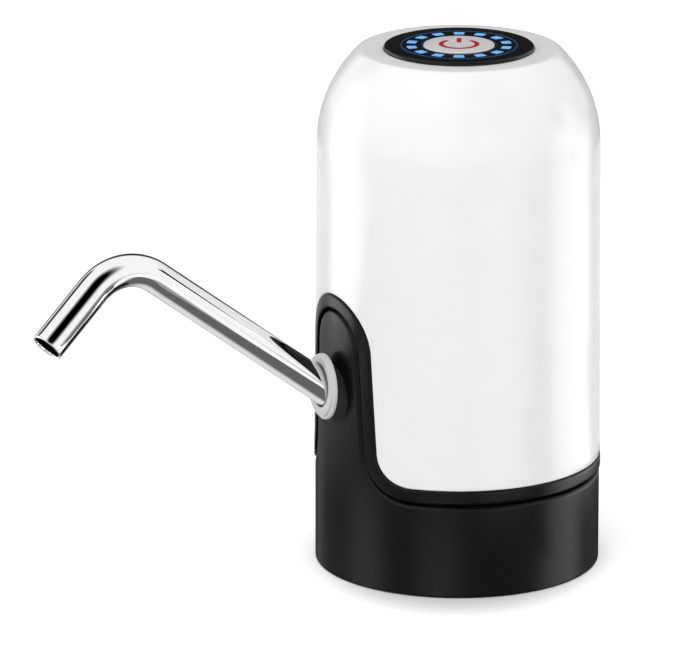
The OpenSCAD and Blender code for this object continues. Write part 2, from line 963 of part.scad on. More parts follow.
module crank_pin() {
  color("silver")
    in_wobble_frame()
      cylinder(r = pin_r, h = pin_l);
}

module eccentric() {
  color([0.93, 0.93, 0.9])
    difference() {
      at_drive(eccentric_z)
        cylinder(r = eccentric_r, h = eccentric_top - eccentric_z);
      in_wobble_frame()
        cylinder(r = pin_r + run_gap, h = pin_l + 3 * run_gap);
      at_drive(eccentric_top - shaft_in)
        cylinder(r = shaft_r + run_gap / 2, h = shaft_in + overcut);
    }
}

module motor_shaft() {
  color("silver")
    at_drive(eccentric_top - shaft_in)
      cylinder(r = shaft_r, h = cap_z + cap_t + cap_hub_h - shaft_below - eccentric_top + shaft_in);
}

module motor_armature() {
  color([0.6, 0.35, 0.2])
    at_drive(core_z)
      difference() {
        cylinder(r = core_r, h = core_h);
        for (i = [1:core_slots])
          rotate([0, 0, 360 * i / core_slots])
            translate([core_r / 2, -core_slot_w / 2, -overcut])
              cube([core_r, core_slot_w, core_h + 2 * overcut]);
        translate([0, 0, -overcut])
          cylinder(r = shaft_r + run_gap / 2, h = core_h + 2 * overcut);
      }
}

module commutator() {
  color([0.8, 0.5, 0.3])
    at_drive(core_z + core_h)
      tube(commutator_r, shaft_r + run_gap / 2, commutator_h);
}

module motor_bearings() {
  color([0.7, 0.55, 0.3])
    union() {
      at_drive(motor_z - bracket_top_t)
        tube(bush_r, shaft_r + run_gap, bush_h);
      at_drive(cap_z + cap_t + cap_hub_h - bush_h - bush_recess)
        tube(bush_r, shaft_r + run_gap, bush_h);
    }
}

module motor_can() {
  color([0.75, 0.75, 0.75])
    at_drive(motor_z)
      difference() {
        cylinder(r = motor_r, h = motor_h);
        translate([0, 0, can_front_t])
          cylinder(r = motor_r - can_wall, h = motor_h);
        translate([0, 0, -overcut])
          cylinder(r = bush_r + seat_gap / 2, h = motor_h);
      }
}

module motor_magnets() {
  magnet_r = motor_r - can_wall - seat_gap / 2;
  color([0.3, 0.3, 0.3])
    at_drive(core_z + core_h / 2 - magnet_h / 2)
      for (a = [-magnet_span / 2, 180 - magnet_span / 2])
        rotate([0, 0, a])
          rotate_extrude(angle = magnet_span)
            translate([magnet_r - magnet_t, 0])
              square([magnet_t, magnet_h]);
}

module motor_end_cap() {
  color([0.2, 0.2, 0.2])
    at_drive(cap_z)
      difference() {
        union() {
          cylinder(r = motor_r, h = cap_t);
          cylinder(r = hub_r, h = cap_t + cap_hub_h);
        }
        translate([0, 0, cap_t + cap_hub_h - bush_h - bush_recess])
          cylinder(r = bush_r + seat_gap / 2, h = bush_h + 2 * overcut);
        translate([0, 0, -overcut])
          cylinder(r = shaft_r + 4 * run_gap, h = cap_t + cap_hub_h + 2 * overcut);
        for (side = [-1, 1])
          translate([side * terminal_x - terminal_slot_t / 2, -terminal_slot_w / 2, -overcut])
            cube([terminal_slot_t, terminal_slot_w, cap_t + 2 * overcut]);
      }
}

module motor_terminals() {
  brush_z = core_z + core_h + commutator_h / 2;
  color([0.8, 0.55, 0.25])
    at_drive(0)
      for (side = [0, 180])
        rotate([0, 0, side])
          union() {
            translate([terminal_x - terminal_t / 2, -terminal_w / 2, brush_z - terminal_t / 2])
              cube([terminal_t, terminal_w, cap_z + cap_t + terminal_up - brush_z + terminal_t / 2]);
            translate([commutator_r + air_gap, -terminal_w / 2, brush_z - terminal_t / 2])
              cube([terminal_x - commutator_r - air_gap, terminal_w, terminal_t]);
          }
}

// Straight insulated wires that rise from the given points to the upper board
module rising_wires(points, z) {
  for (p = points)
    translate([p[0], p[1], z])
      cylinder(r = wire_r, h = board_z - z, $fn = 24);
}

module motor_leads() {
  color([0.7, 0.1, 0.1])
    rising_wires(
      [[drive_x - terminal_x, drive_y], [drive_x + terminal_x, drive_y]],
      cap_z + cap_t + terminal_up
    );
}

module battery_cell() {
  color([0.2, 0.45, 0.75])
    translate([cell_x, cell_y, cell_z])
      union() {
        cylinder(r = cell_r, h = cell_h - cell_cap_h);
        cylinder(r = cell_r / 2, h = cell_h);
      }
}

module battery_cradle() {
  color([0.25, 0.25, 0.25])
    translate([cell_x, cell_y, deck_top])
      difference() {
        cylinder(r = cell_r + seat_gap + cradle_wall, h = cradle_h);
        translate([0, 0, cradle_floor])
          cylinder(r = cell_r + seat_gap, h = cradle_h);
        rotate([0, 0, cradle_slot_angle])
          translate([0, -cradle_slot_w / 2, cradle_floor])
            cube([2 * cell_r, cradle_slot_w, cradle_h]);
      }
}

module battery_tabs() {
  color([0.8, 0.8, 0.75])
    translate([cell_x, cell_y, 0])
      union() {
        translate([0, 0, cell_z - tab_t])
          rotate([0, 0, cradle_slot_angle])
            translate([-tab_w / 2, -tab_w / 2, 0])
              cube([tab_reach + wire_r + tab_w / 2, tab_w, tab_t]);
        translate([-tab_w / 2, -tab_w / 2, cell_z + cell_h])
          cube([tab_w, tab_w, tab_t]);
      }
}

module battery_leads() {
  low = [cell_x, cell_y] + polar(tab_reach, cradle_slot_angle);
  color([0.1, 0.1, 0.1])
    union() {
      rising_wires([low], cell_z);
      rising_wires([[cell_x, cell_y]], cell_z + cell_h + tab_t);
    }
}

module charge_board() {
  color([0.1, 0.35, 0.2])
    translate([-charge_w / 2, charge_y, charge_z])
      cube([charge_w, charge_l, charge_t]);
}

module usb_socket() {
  color("silver")
    difference() {
      translate([0, usb_back_y + usb_l, usb_z])
        rotate([90, 0, 0])
          usb_prism(0, usb_l);
      translate([0, usb_back_y + usb_l + overcut, usb_z])
        rotate([90, 0, 0])
          linear_extrude(height = usb_depth + overcut)
            difference() {
              square([usb_w - usb_h / 2, usb_h - 2 * usb_skin], center = true);
              square([usb_w - usb_h, usb_tongue_t], center = true);
            }
    }
}

module charge_leads() {
  color([0.7, 0.1, 0.1])
    rising_wires(
      [[-charge_lead_x, charge_lead_y], [charge_lead_x, charge_lead_y]],
      charge_z + charge_t
    );
}

module led_board() {
  color([0.1, 0.35, 0.2])
    translate([0, 0, board_z])
      difference() {
        cylinder(r = board_r, h = board_t);
        at_angles(post_ring_r, post_angles)
          translate([0, 0, -overcut])
            cylinder(r = board_screw_r + hole_gap, h = board_t + 2 * overcut);
      }
}

module led_chips() {
  color([0.95, 0.95, 0.8])
    for (i = [0:segment_count - 1])
      rotate([0, 0, segment_start + 360 * i / segment_count])
        translate([segment_mid_r - chip_w / 2, -chip_l / 2, board_top + solder_t])
          cube([chip_w, chip_l, chip_h]);
}

module board_screws() {
  color("silver")
    at_angles(post_ring_r, post_angles)
      translate([0, 0, board_z])
        union() {
          translate([0, 0, -board_screw_head_h])
            cylinder(r = board_screw_head_r, h = board_screw_head_h);
          cylinder(r = board_screw_r, h = board_t + lens_z - board_top - board_screw_short);
        }
}

module switch_body() {
  color([0.2, 0.2, 0.2])
    translate([0, 0, board_top])
      difference() {
        translate([-switch_w / 2, -switch_w / 2, 0])
          cube([switch_w, switch_w, switch_h]);
        translate([0, 0, switch_floor])
          cylinder(r = plunger_r + hole_gap, h = switch_h);
      }
}

module switch_plunger() {
  color([0.85, 0.8, 0.7])
    translate([0, 0, board_top + switch_h + plunger_up - plunger_l])
      cylinder(r = plunger_r, h = plunger_l);
}

module button_cap() {
  stem_z = board_top + switch_h + plunger_up;
  flange_z = lens_z - flange_gap - flange_t;
  color([0.8, 0.8, 0.8])
    union() {
      translate([0, 0, stem_z])
        cylinder(r = stem_r, h = flange_z - stem_z + flange_t / 2);
      translate([0, 0, flange_z])
        cylinder(r = flange_r, h = flange_t);
      translate([0, 0, flange_z])
        cylinder(r = button_r, h = lens_top + button_proud - button_edge - flange_z);
      translate([0, 0, lens_top + button_proud - button_edge])
        cylinder(r1 = button_r, r2 = button_r - button_edge, h = button_edge);
    }
}

// One lit segment as a block of the ring, grown by g
module segment_block(g, h) {
  turn = g / segment_mid_r * 180 / PI;
  rotate([0, 0, -segment_span / 2 - turn])
    rotate_extrude(angle = segment_span + 2 * turn)
      translate([segment_in_r - g, 0])
        square([segment_w + 2 * g, h]);
}

module light_guide() {
  color([0.35, 0.7, 0.95])
    union() {
      translate([0, 0, lens_z - guide_t])
        tube(guide_out_r, guide_in_r, guide_t);
      for (i = [0:segment_count - 1])
        rotate([0, 0, segment_start + 360 * i / segment_count])
          translate([0, 0, lens_z - guide_t / 2])
            segment_block(0, lens_t + guide_t / 2);
      at_angles(guide_leg_ring_r, post_angles)
        translate([0, 0, board_top])
          cylinder(r = guide_leg_r, h = lens_z - guide_t / 2 - board_top);
    }
}

module display_lens() {
  color([0.05, 0.05, 0.06])
    translate([0, 0, lens_z])
      difference() {
        union() {
          cylinder(r = lens_r, h = lens_t - lens_edge);
          translate([0, 0, lens_t - lens_edge])
            cylinder(r1 = lens_r, r2 = lens_r - lens_edge, h = lens_edge);
        }
        translate([0, 0, -overcut])
          cylinder(r = button_r + button_gap, h = lens_t + 2 * overcut);
        for (i = [0:segment_count - 1])
          rotate([0, 0, segment_start + 360 * i / segment_count])
            translate([0, 0, -overcut])
              segment_block(seat_gap / 2, lens_t + 2 * overcut);
      }
}

upper_shell();
base_housing();
seam_band();
bottle_seal();
deck_plate();
case_screws();
suction_nipple();
nipple_seal();
suction_hose();
delivery_hose();
spout_socket();
spout_grommet();
spout_o_rings();
spout_tube();
pump_stand();
pump_head();
valve_flaps();
valve_plate();
diaphragm();
pump_bracket();
pump_screws();
wobble_plate();
crank_pin();
eccentric();
motor_shaft();
motor_armature();
commutator();
motor_bearings();
motor_can();
motor_magnets();
motor_end_cap();
motor_terminals();
motor_leads();
battery_cell();
battery_cradle();
battery_tabs();
battery_leads();
charge_board();
usb_socket();
charge_leads();
led_board();
led_chips();
board_screws();
switch_body();
switch_plunger();
button_cap();
light_guide();
display_lens();
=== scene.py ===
"""Looks of an electric pump for large drinking water bottles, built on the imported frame.

The frame is in metres with +Z up and the spout towards -Y. Sizes below are in millimetres until
a mesh is made.
"""

import math

import bmesh
import bpy
import numpy as np
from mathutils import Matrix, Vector


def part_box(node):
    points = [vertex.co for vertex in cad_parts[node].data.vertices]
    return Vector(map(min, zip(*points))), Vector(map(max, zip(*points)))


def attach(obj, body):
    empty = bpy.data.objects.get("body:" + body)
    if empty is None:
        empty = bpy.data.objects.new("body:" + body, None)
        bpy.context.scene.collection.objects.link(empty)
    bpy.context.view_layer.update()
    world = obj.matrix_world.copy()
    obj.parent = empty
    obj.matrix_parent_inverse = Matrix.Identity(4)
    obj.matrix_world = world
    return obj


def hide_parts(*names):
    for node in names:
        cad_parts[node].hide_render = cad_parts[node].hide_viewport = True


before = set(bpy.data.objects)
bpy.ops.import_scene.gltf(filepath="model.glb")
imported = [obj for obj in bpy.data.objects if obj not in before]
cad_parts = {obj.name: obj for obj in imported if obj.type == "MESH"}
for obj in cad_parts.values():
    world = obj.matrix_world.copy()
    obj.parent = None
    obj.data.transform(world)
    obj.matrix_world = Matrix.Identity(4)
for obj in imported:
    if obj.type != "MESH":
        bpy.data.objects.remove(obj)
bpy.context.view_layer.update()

MM = 0.001
SHARP_EDGE = math.radians(35)

# Sizes taken from the frame


def frame_box(node):
    """Lowest and highest corner of a node of the frame, in millimetres."""
    low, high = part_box(node)
    return np.array(low) / MM, np.array(high) / MM


SHELL_R = frame_box("upper_shell")[1][0]
TOP_Z = frame_box("upper_shell")[1][2]
BAND_R = frame_box("seam_band")[1][0]
BASE_R = frame_box("base_housing")[1][0]
LENS_R = frame_box("display_lens")[1][0]
LENS_LOW = frame_box("display_lens")[0][2]
LENS_TOP = frame_box("display_lens")[1][2]
BUTTON_LOW = frame_box("button_cap")[0][2]
BUTTON_TOP = frame_box("button_cap")[1][2]
SEAL_R = frame_box("bottle_seal")[1][0]
SEAL_H = frame_box("bottle_seal")[1][2]
GROMMET_FACE_Y = frame_box("spout_grommet")[0][1]
GROMMET_R = frame_box("spout_grommet")[1][0]

# Sizes of the body that the frame's boxes don't give

SEAM_Z = 27.0
WALL = 2.0
BASE_WALL = 2.1
BAND_W = 3.1
SEAT_GAP = 0.1
DOME_Z = 105.0
DOME_CURVE_R = 32.5
SHELL_TAPER = 0.55
TOP_EDGE_R = 2.0
ROOF_T = 2.2
LENS_LIP = 1.0
ARCH_R = 13.3
ARCH_Z = 57.8
ARCH_LEAN = math.radians(4.2)
SWEEP_R = 8.2
SWEEP_Z = SEAM_Z + SWEEP_R
SWEEP_X = (
    ARCH_Z * math.sin(ARCH_LEAN) + ARCH_R + SWEEP_R - SWEEP_Z * math.sin(ARCH_LEAN)
) / math.cos(ARCH_LEAN)
USB_Z = 72.0
USB_W = 9.4
USB_H = 3.6
USB_LIP = 0.35
FINE_BACK = 9.5

# Sizes of the spout and its grommet

SPOUT_R = 4.0
SPOUT_WALL = 0.5
SPOUT_RISE = math.radians(36.8)
SPOUT_BEND = math.radians(77)
SPOUT_TURN = math.radians(9)
SPOUT_BEND_R = 14.5
SPOUT_ROOT = np.array([0.0, -BASE_R - 1.65, 47.6])
BEND_REACH = SPOUT_BEND_R * math.tan(SPOUT_BEND / 2)
SPOUT_IN = 22.0
SPOUT_LONG = 69.4 - BEND_REACH
SPOUT_SHORT = 29.5 - BEND_REACH
GROMMET_Z = 48.7
GROMMET_TALL = 1.9
GROMMET_FLANGE_T = 0.9
GROMMET_RING_T = 0.8
GROMMET_BACK_Y = GROMMET_FACE_Y + GROMMET_FLANGE_T + GROMMET_RING_T
GROMMET_BORE_R = SPOUT_R + 0.4
SLEEVE_R = GROMMET_BORE_R + 0.8
COLLAR_BORE_R = SLEEVE_R + 0.05
COLLAR_R = COLLAR_BORE_R + 0.9
HOLE_R = COLLAR_R - 0.45
HOLE_Z = SPOUT_ROOT[2] - 1.65 * math.tan(SPOUT_RISE)
HOLE_TALL = 1 / math.cos(SPOUT_RISE)
HOLE_LIP = 0.2

# Sizes of the display

SEGMENTS = 14
SEGMENT_START = math.radians(330)
SEGMENT_SPAN = math.radians(14.5)
SEGMENT_MASK = 0.22
SEGMENT_OUT_R = LENS_R - 5.15
SEGMENT_IN_R = SEGMENT_OUT_R - 2.7
BUTTON_R = SEGMENT_IN_R - 1.7
BUTTON_GAP = 0.25
FLANGE_R = BUTTON_R + 0.95
FLANGE_Z = LENS_LOW - 0.8
PRINT_T = 0.03
PRINT_SINK = 0.1
PRINT_EDGE = 0.01
OUTER_CIRCLE = 14.05, 0.13
INNER_CIRCLE = 9.12, 0.1

# Sizes of the pump's diaphragm and of the wobble plate above it

MEMBRANE_T = 1.0
CUP_R = 3.6
CUP_RING_R = 5.4
CUP_ANGLES = np.radians([60, 180, 300])
CUP_EDGE = 0.5
CUP_GAP = 0.3
PIVOT_UP = 5.0
WOBBLE_T = 2.0
WOBBLE_TILT = math.radians(7)

# The camera's place in the photograph

CAMERA_TURN = math.radians(60)
CAMERA_RISE = math.radians(15.89)
CAMERA_FAR = 1700.0
CAMERA_LENS = 358.2
SENSOR_W = 36.0
LOOK_Z = 65.0
FRAME_RIGHT = -26.3
FRAME_UP = -7.1


# Meshes


def piece(name, points, faces, body, slot, finish, replaced=()):
    """Makes a closed mesh from points in millimetres and quads, faces outwards, and hangs it on a body."""
    points = np.asarray(points, float).reshape(-1, 3)
    quads = np.asarray(faces, int).reshape(-1, 4)
    mesh = bpy.data.meshes.new(name)
    mesh.from_pydata((points * MM).tolist(), [], quads.tolist())
    work = bmesh.new()
    work.from_mesh(mesh)
    bmesh.ops.remove_doubles(work, verts=work.verts, dist=0.0005 * MM)
    bmesh.ops.dissolve_degenerate(work, edges=work.edges, dist=0.0002 * MM)
    bmesh.ops.recalc_face_normals(work, faces=work.faces)
    if work.calc_volume(signed=True) < 0:
        bmesh.ops.reverse_faces(work, faces=work.faces)
    work.to_mesh(mesh)
    work.free()
    mesh.polygons.foreach_set("use_smooth", np.ones(len(mesh.polygons), bool))
    mesh.set_sharp_from_angle(angle=SHARP_EDGE)
    mesh.materials.append(finish)
    made = bpy.data.objects.new(name, mesh)
    bpy.context.scene.collection.objects.link(made)
    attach(made, body)
    if replaced:
        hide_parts(*replaced)


def grid_quads(rows, columns, row_loop=True):
    """Quads of a grid, each from a point to the next in its row and in its column: row, column, 4.

    The last column joins the first, and so does the last row where row_loop is set.
    """
    r, c = np.meshgrid(np.arange(rows if row_loop else rows - 1), np.arange(columns), indexing="ij")
    up = (r + 1) % rows
    on = (c + 1) % columns
    return np.stack([r * columns + c, r * columns + on, up * columns + on, up * columns + c], -1)


def arc(centre, r, start, end, steps):
    """Points at radius r about a centre, at even angles from start to end in degrees."""
    angle = np.radians(np.linspace(start, end, steps))
    return np.stack([centre[0] + r * np.cos(angle), centre[1] + r * np.sin(angle)], -1)


def rounded(corners, steps=7):
    """A closed outline from rows of (x, y, radius), where each corner is an arc tangent to both its sides.

    The arc starts where the radius times the cotangent of half the corner's angle meets the side.
    """
    corners = np.asarray(corners, float)
    place = corners[:, :2]
    before = np.roll(place, 1, 0) - place
    after = np.roll(place, -1, 0) - place
    before /= np.linalg.norm(before, axis=1, keepdims=True)
    after /= np.linalg.norm(after, axis=1, keepdims=True)
    half = np.arccos(np.clip((before * after).sum(1), -1, 1)) / 2
    middle = before + after
    middle /= np.linalg.norm(middle, axis=1, keepdims=True)
    centre = place + middle * (corners[:, 2] / np.sin(half))[:, None]
    sweep = math.pi / 2 - half
    across = np.stack([-middle[:, 1], middle[:, 0]], -1)
    across *= np.sign((across * after).sum(1))[:, None]
    turn = np.linspace(-1, 1, steps)[None, :, None] * sweep[:, None, None]
    ring = -middle[:, None] * np.cos(turn) + across[:, None] * np.sin(turn)
    return (centre[:, None] + corners[:, 2][:, None, None] * ring).reshape(-1, 2)


def lathe(section, columns=192):
    """A closed half section of (radius, height) turned about Z: x = r sin t, y = -r cos t, z = height."""
    section = np.asarray(section, float)
    t = np.linspace(0, 2 * math.pi, columns, endpoint=False)
    r, h = section[:, :1], section[:, 1:]
    points = np.stack([r * np.sin(t), -r * np.cos(t), h + 0 * t], -1)
    return points, grid_quads(len(section), columns)


# The seam between the shell, the band and the base


def seam_columns():
    """The seam's outline as columns: place, inward normal, angle about Z, and whether it is in the cut-out.

    From the middle of the spout's cut-out the right half runs along the arch, down its leaning side,
    round the sweep and then level to the back, where the columns are finer beside the charging slot.
    The left half is its mirror image.
    """
    arch = np.linspace(math.pi / 2, ARCH_LEAN, 44)
    sweep = np.linspace(math.pi + ARCH_LEAN, 1.5 * math.pi, 30)
    arch_normal = -np.stack([np.cos(arch), np.sin(arch)], -1)
    sweep_normal = np.stack([np.cos(sweep), np.sin(sweep)], -1)
    arch_place = np.array([0, ARCH_Z]) - ARCH_R * arch_normal
    sweep_place = np.array([SWEEP_X, SWEEP_Z]) + SWEEP_R * sweep_normal
    share = np.linspace(0, 1, 18)[1:-1, None]
    side_place = arch_place[-1] * (1 - share) + sweep_place[0] * share
    side_normal = np.repeat(arch_normal[-1:], len(side_place), 0)
    front_place = np.concatenate([arch_place, side_place, sweep_place])
    front_normal = np.concatenate([arch_normal, side_normal, sweep_normal])
    start = math.asin(SWEEP_X / SHELL_R)
    fine = math.pi - FINE_BACK / SHELL_R
    angle = np.concatenate([np.linspace(start, fine, 48)[1:], np.linspace(fine, math.pi, 25)[1:]])
    level_place = np.stack([0 * angle, 0 * angle + SEAM_Z], -1)
    level_normal = np.stack([0 * angle, 0 * angle - 1], -1)
    place = np.concatenate([front_place, level_place])
    normal = np.concatenate([front_normal, level_normal])
    front = np.arange(len(place)) < len(front_place)
    angle = np.concatenate([np.zeros(len(front_place)), angle])
    left = slice(len(place) - 2, 0, -1)
    mirror = np.array([-1, 1])
    return (
        np.concatenate([place, place[left] * mirror]),
        np.concatenate([normal, normal[left] * mirror]),
        np.concatenate([angle, -angle[left]]),
        np.concatenate([front, front[left]]),
    )


seam_place, seam_normal, seam_angle, seam_front = seam_columns()
COLUMNS = len(seam_place)


def wall_r(z):
    """Outer radius of the shell's leaning wall at height z."""
    return SHELL_R - (z - SEAM_Z) * SHELL_TAPER / (DOME_Z - SEAM_Z)


def seam_rows(inward, depth, outer=None):
    """Rows of points along the seam, moved inward along the outline's normal and sunk by depth.

    In the cut-out x follows the outline and y = -sqrt(r^2 - x^2); elsewhere the angle is fixed. The
    wall's radius is outer, or the shell's own at each height.
    """
    inward = np.asarray(inward, float)[:, None]
    depth = np.asarray(depth, float)[:, None]
    z = seam_place[:, 1] + inward * seam_normal[:, 1]
    r = (wall_r(z) if outer is None else outer) - depth + 0 * z
    x = np.where(seam_front, seam_place[:, 0] + inward * seam_normal[:, 0], r * np.sin(seam_angle))
    y = np.where(seam_front, -np.sqrt(np.maximum(r * r - x * x, 0)), -r * np.cos(seam_angle))
    return np.stack([x, y, z], -1)


def round_edge(inward, radius, direction, steps=8):
    """Offsets and depths of a quarter round at the wall's edge: from the side wall up to the outer face.

    The side wall is at the offset inward, and the outer face lies on its side named by direction.
    """
    turn = np.linspace(0, math.pi / 2, steps)
    return inward + direction * radius * (1 - np.cos(turn)), radius * (1 - np.sin(turn))


def turned_rows(angle, r, z):
    """Rows of points at given radii and heights, with one column at each angle about Z."""
    r = np.asarray(r, float)
    z = np.asarray(z, float) + 0 * r
    return np.stack([r * np.sin(angle), -r * np.cos(angle), z + 0 * angle], -1)


def column_angles(row):
    """Angle about Z of each point of a row, counted from the front."""
    return np.arctan2(row[:, 0], -row[:, 1])


def open_window(points, quads, outer_rows, inner_rows, columns, outline, on_wall, wall, lip):
    """Opens a hole through both walls of a closed grid and lines it, with a rounded lip outside.

    The quads between the given lines of the outer and the inner wall are taken out. A sleeve of new
    rows then runs from the outer gap's edge to the hole's outline, through the wall and out to the
    inner gap's edge; each point of a row lies in the same direction from the hole's centre. outline
    gives the hole in a direction, grown by a margin, and on_wall puts flat (across, height) places
    onto the wall at a depth.
    """
    count = points.shape[1]
    span = np.arange(columns[0], columns[1] + 1)
    rings = []
    for low, high in (outer_rows, inner_rows):
        step = 1 if high > low else -1
        rise = np.arange(low, high + step, step)
        row = np.concatenate(
            [0 * span + low, rise[1:], 0 * span[:-1] + high, rise[1:-1][::-1]]
        )
        column = np.concatenate(
            [span, 0 * rise[1:] + span[-1], span[:-1][::-1], 0 * rise[1:-1] + span[0]]
        )
        rings.append(row * count + column % count)
        faces = quads[min(low, high) : max(low, high)]
        faces[:, span[:-1] % count] = -1
    flat = points.reshape(-1, 3)
    outside, inside = (on_wall(flat[ring], None) for ring in rings)
    turn = np.arctan2(outside[:, 1], outside[:, 0])
    near = outline(turn, lip)
    rows = []
    for share in (0.75, 0.5, 0.28, 0.12, 0.0):
        rows.append(on_wall(near + (outside - near) * share, 0.0))
    for q in np.linspace(0, math.pi / 2, 6)[1:]:
        rows.append(on_wall(outline(turn, lip * (1 - math.sin(q))), lip * (1 - math.cos(q))))
    rows.append(on_wall(outline(turn, 0.0), wall))
    rows.append(on_wall(outline(turn, 0.0) * 0.5 + inside * 0.5, wall))
    sleeve = np.stack(rows)
    added = len(flat) + np.arange(sleeve.shape[0] * sleeve.shape[1]).reshape(sleeve.shape[:2])
    index = np.concatenate([rings[0][None], added, rings[1][None]])
    on = np.roll(index, -1, 1)
    lining = np.stack([index[:-1], on[:-1], on[1:], index[1:]], -1)[:, :, ::-1]
    kept = quads.reshape(-1, 4)
    kept = kept[kept[:, 0] >= 0]
    return np.concatenate([flat, sleeve.reshape(-1, 3)]), np.concatenate([kept, lining.reshape(-1, 4)])


def slot_outline(turn, grown):
    """A slot with round ends in each direction from its centre: the flat side where the ray meets it.

    Elsewhere the ray meets the round end.
    """
    r = USB_H / 2 + grown
    half = (USB_W - USB_H) / 2
    c = np.abs(np.cos(turn))
    s = np.abs(np.sin(turn))
    flat = r / np.maximum(s, 1e-9)
    end = half * c + np.sqrt(np.maximum(r * r - (half * s) ** 2, 0))
    reach = np.where(flat * c <= half, flat, end)
    return np.stack([reach * np.cos(turn), reach * np.sin(turn)], -1)


def on_shell_back(place, depth):
    """Between places on the shell's back and flat ones about the charging slot; depth None flattens."""
    if depth is None:
        angle = np.arctan2(place[:, 0], place[:, 1])
        return np.stack([-angle * SHELL_R, place[:, 2] - USB_Z], -1)
    angle = -place[:, 0] / SHELL_R
    z = place[:, 1] + USB_Z
    r = wall_r(z) - depth
    return np.stack([r * np.sin(angle), r * np.cos(angle), z], -1)


def shell_mesh():
    """The white shell: seam edge, leaning wall, dome arc, flat top, window pocket and the inner wall.

    The rows run in a loop up the outside and down the inside; above the seam every column keeps its
    angle about Z. The wall's rows are finer beside the charging slot.
    """
    edge = 0.5
    foot_z = 28
    fine_z = 67, 77
    pocket_edge = 0.2
    flat_margin = 1.5
    offset, sunk = round_edge(-SEAT_GAP, edge, -1)
    seam = seam_rows(np.concatenate([[-SEAT_GAP], offset]), np.concatenate([[WALL / 2], sunk]))
    angle = column_angles(seam[-1])
    foot = seam[-1, :, 2]
    levels = np.concatenate(
        [
            np.linspace(foot_z, fine_z[0], 26)[1:-1],
            np.linspace(*fine_z, 17),
            np.linspace(fine_z[1], DOME_Z, 14)[1:],
        ]
    )
    share = ((levels - foot_z) / (DOME_Z - foot_z))[:, None]
    z = foot + (DOME_Z - foot) * share
    outside = turned_rows(angle, wall_r(z), z)
    centre_r = SHELL_R - SHELL_TAPER - DOME_CURVE_R
    edge_z = TOP_Z - TOP_EDGE_R
    edge_r = centre_r + math.sqrt((DOME_CURVE_R - TOP_EDGE_R) ** 2 - (edge_z - DOME_Z) ** 2)
    end = math.degrees(math.atan2(edge_z - DOME_Z, edge_r - centre_r))
    pocket_r = LENS_R + SEAT_GAP
    roof_z = TOP_Z - ROOF_T
    inner_r = DOME_CURVE_R - WALL
    inner_end = math.degrees(math.asin((roof_z - DOME_Z) / inner_r))
    section = np.concatenate(
        [
            arc((centre_r, DOME_Z), DOME_CURVE_R, 0, end, 30)[1:],
            arc((edge_r, edge_z), TOP_EDGE_R, end, 90, 9)[1:],
            [[edge_r - flat_margin, TOP_Z], [pocket_r + flat_margin, TOP_Z]],
            arc((pocket_r + pocket_edge, TOP_Z - pocket_edge), pocket_edge, 90, 180, 5),
            [[pocket_r, LENS_LOW], [LENS_R - LENS_LIP, LENS_LOW], [LENS_R - LENS_LIP, roof_z]],
            arc((centre_r, DOME_Z), inner_r, inner_end, 0, 16),
        ]
    )
    top = turned_rows(angle, section[:, :1], section[:, 1:])
    inner_seam = seam_rows([-SEAT_GAP], [WALL])
    inner_angle = column_angles(inner_seam[0])
    inner_foot = inner_seam[0, :, 2]
    inner_z = (inner_foot + (DOME_Z - inner_foot) * share)[-2::-1]
    inside = turned_rows(inner_angle, wall_r(inner_z) - WALL, inner_z)
    points = np.concatenate([seam, outside, top, inside, inner_seam])
    quads = grid_quads(len(points), COLUMNS)
    low, high = 27, 38
    beside = 18
    first_out = len(seam)
    first_in = len(seam) + len(outside) + len(top)
    last = len(levels) - 2
    back = int(np.argmax(seam_angle))
    return open_window(
        points,
        quads,
        (first_out + low, first_out + high),
        (first_in + last - low, first_in + last - high),
        (back - beside, back + beside),
        slot_outline,
        on_shell_back,
        WALL,
        USB_LIP,
    )


def round_outline(turn, grown):
    """The spout's hole in each direction from its centre: taller than wide, as the spout is sloped."""
    r = HOLE_R + grown
    reach = r / np.hypot(np.cos(turn), np.sin(turn) / HOLE_TALL)
    return np.stack([reach * np.cos(turn), reach * np.sin(turn)], -1)


def on_panel(place, depth):
    """Between places on the spout panel and flat ones about the spout's hole; depth None flattens."""
    if depth is None:
        return np.stack([place[:, 0], place[:, 2] - HOLE_Z], -1)
    r = BASE_R - depth
    x = place[:, 0]
    return np.stack([x, -np.sqrt(r * r - x * x), place[:, 1] + HOLE_Z], -1)


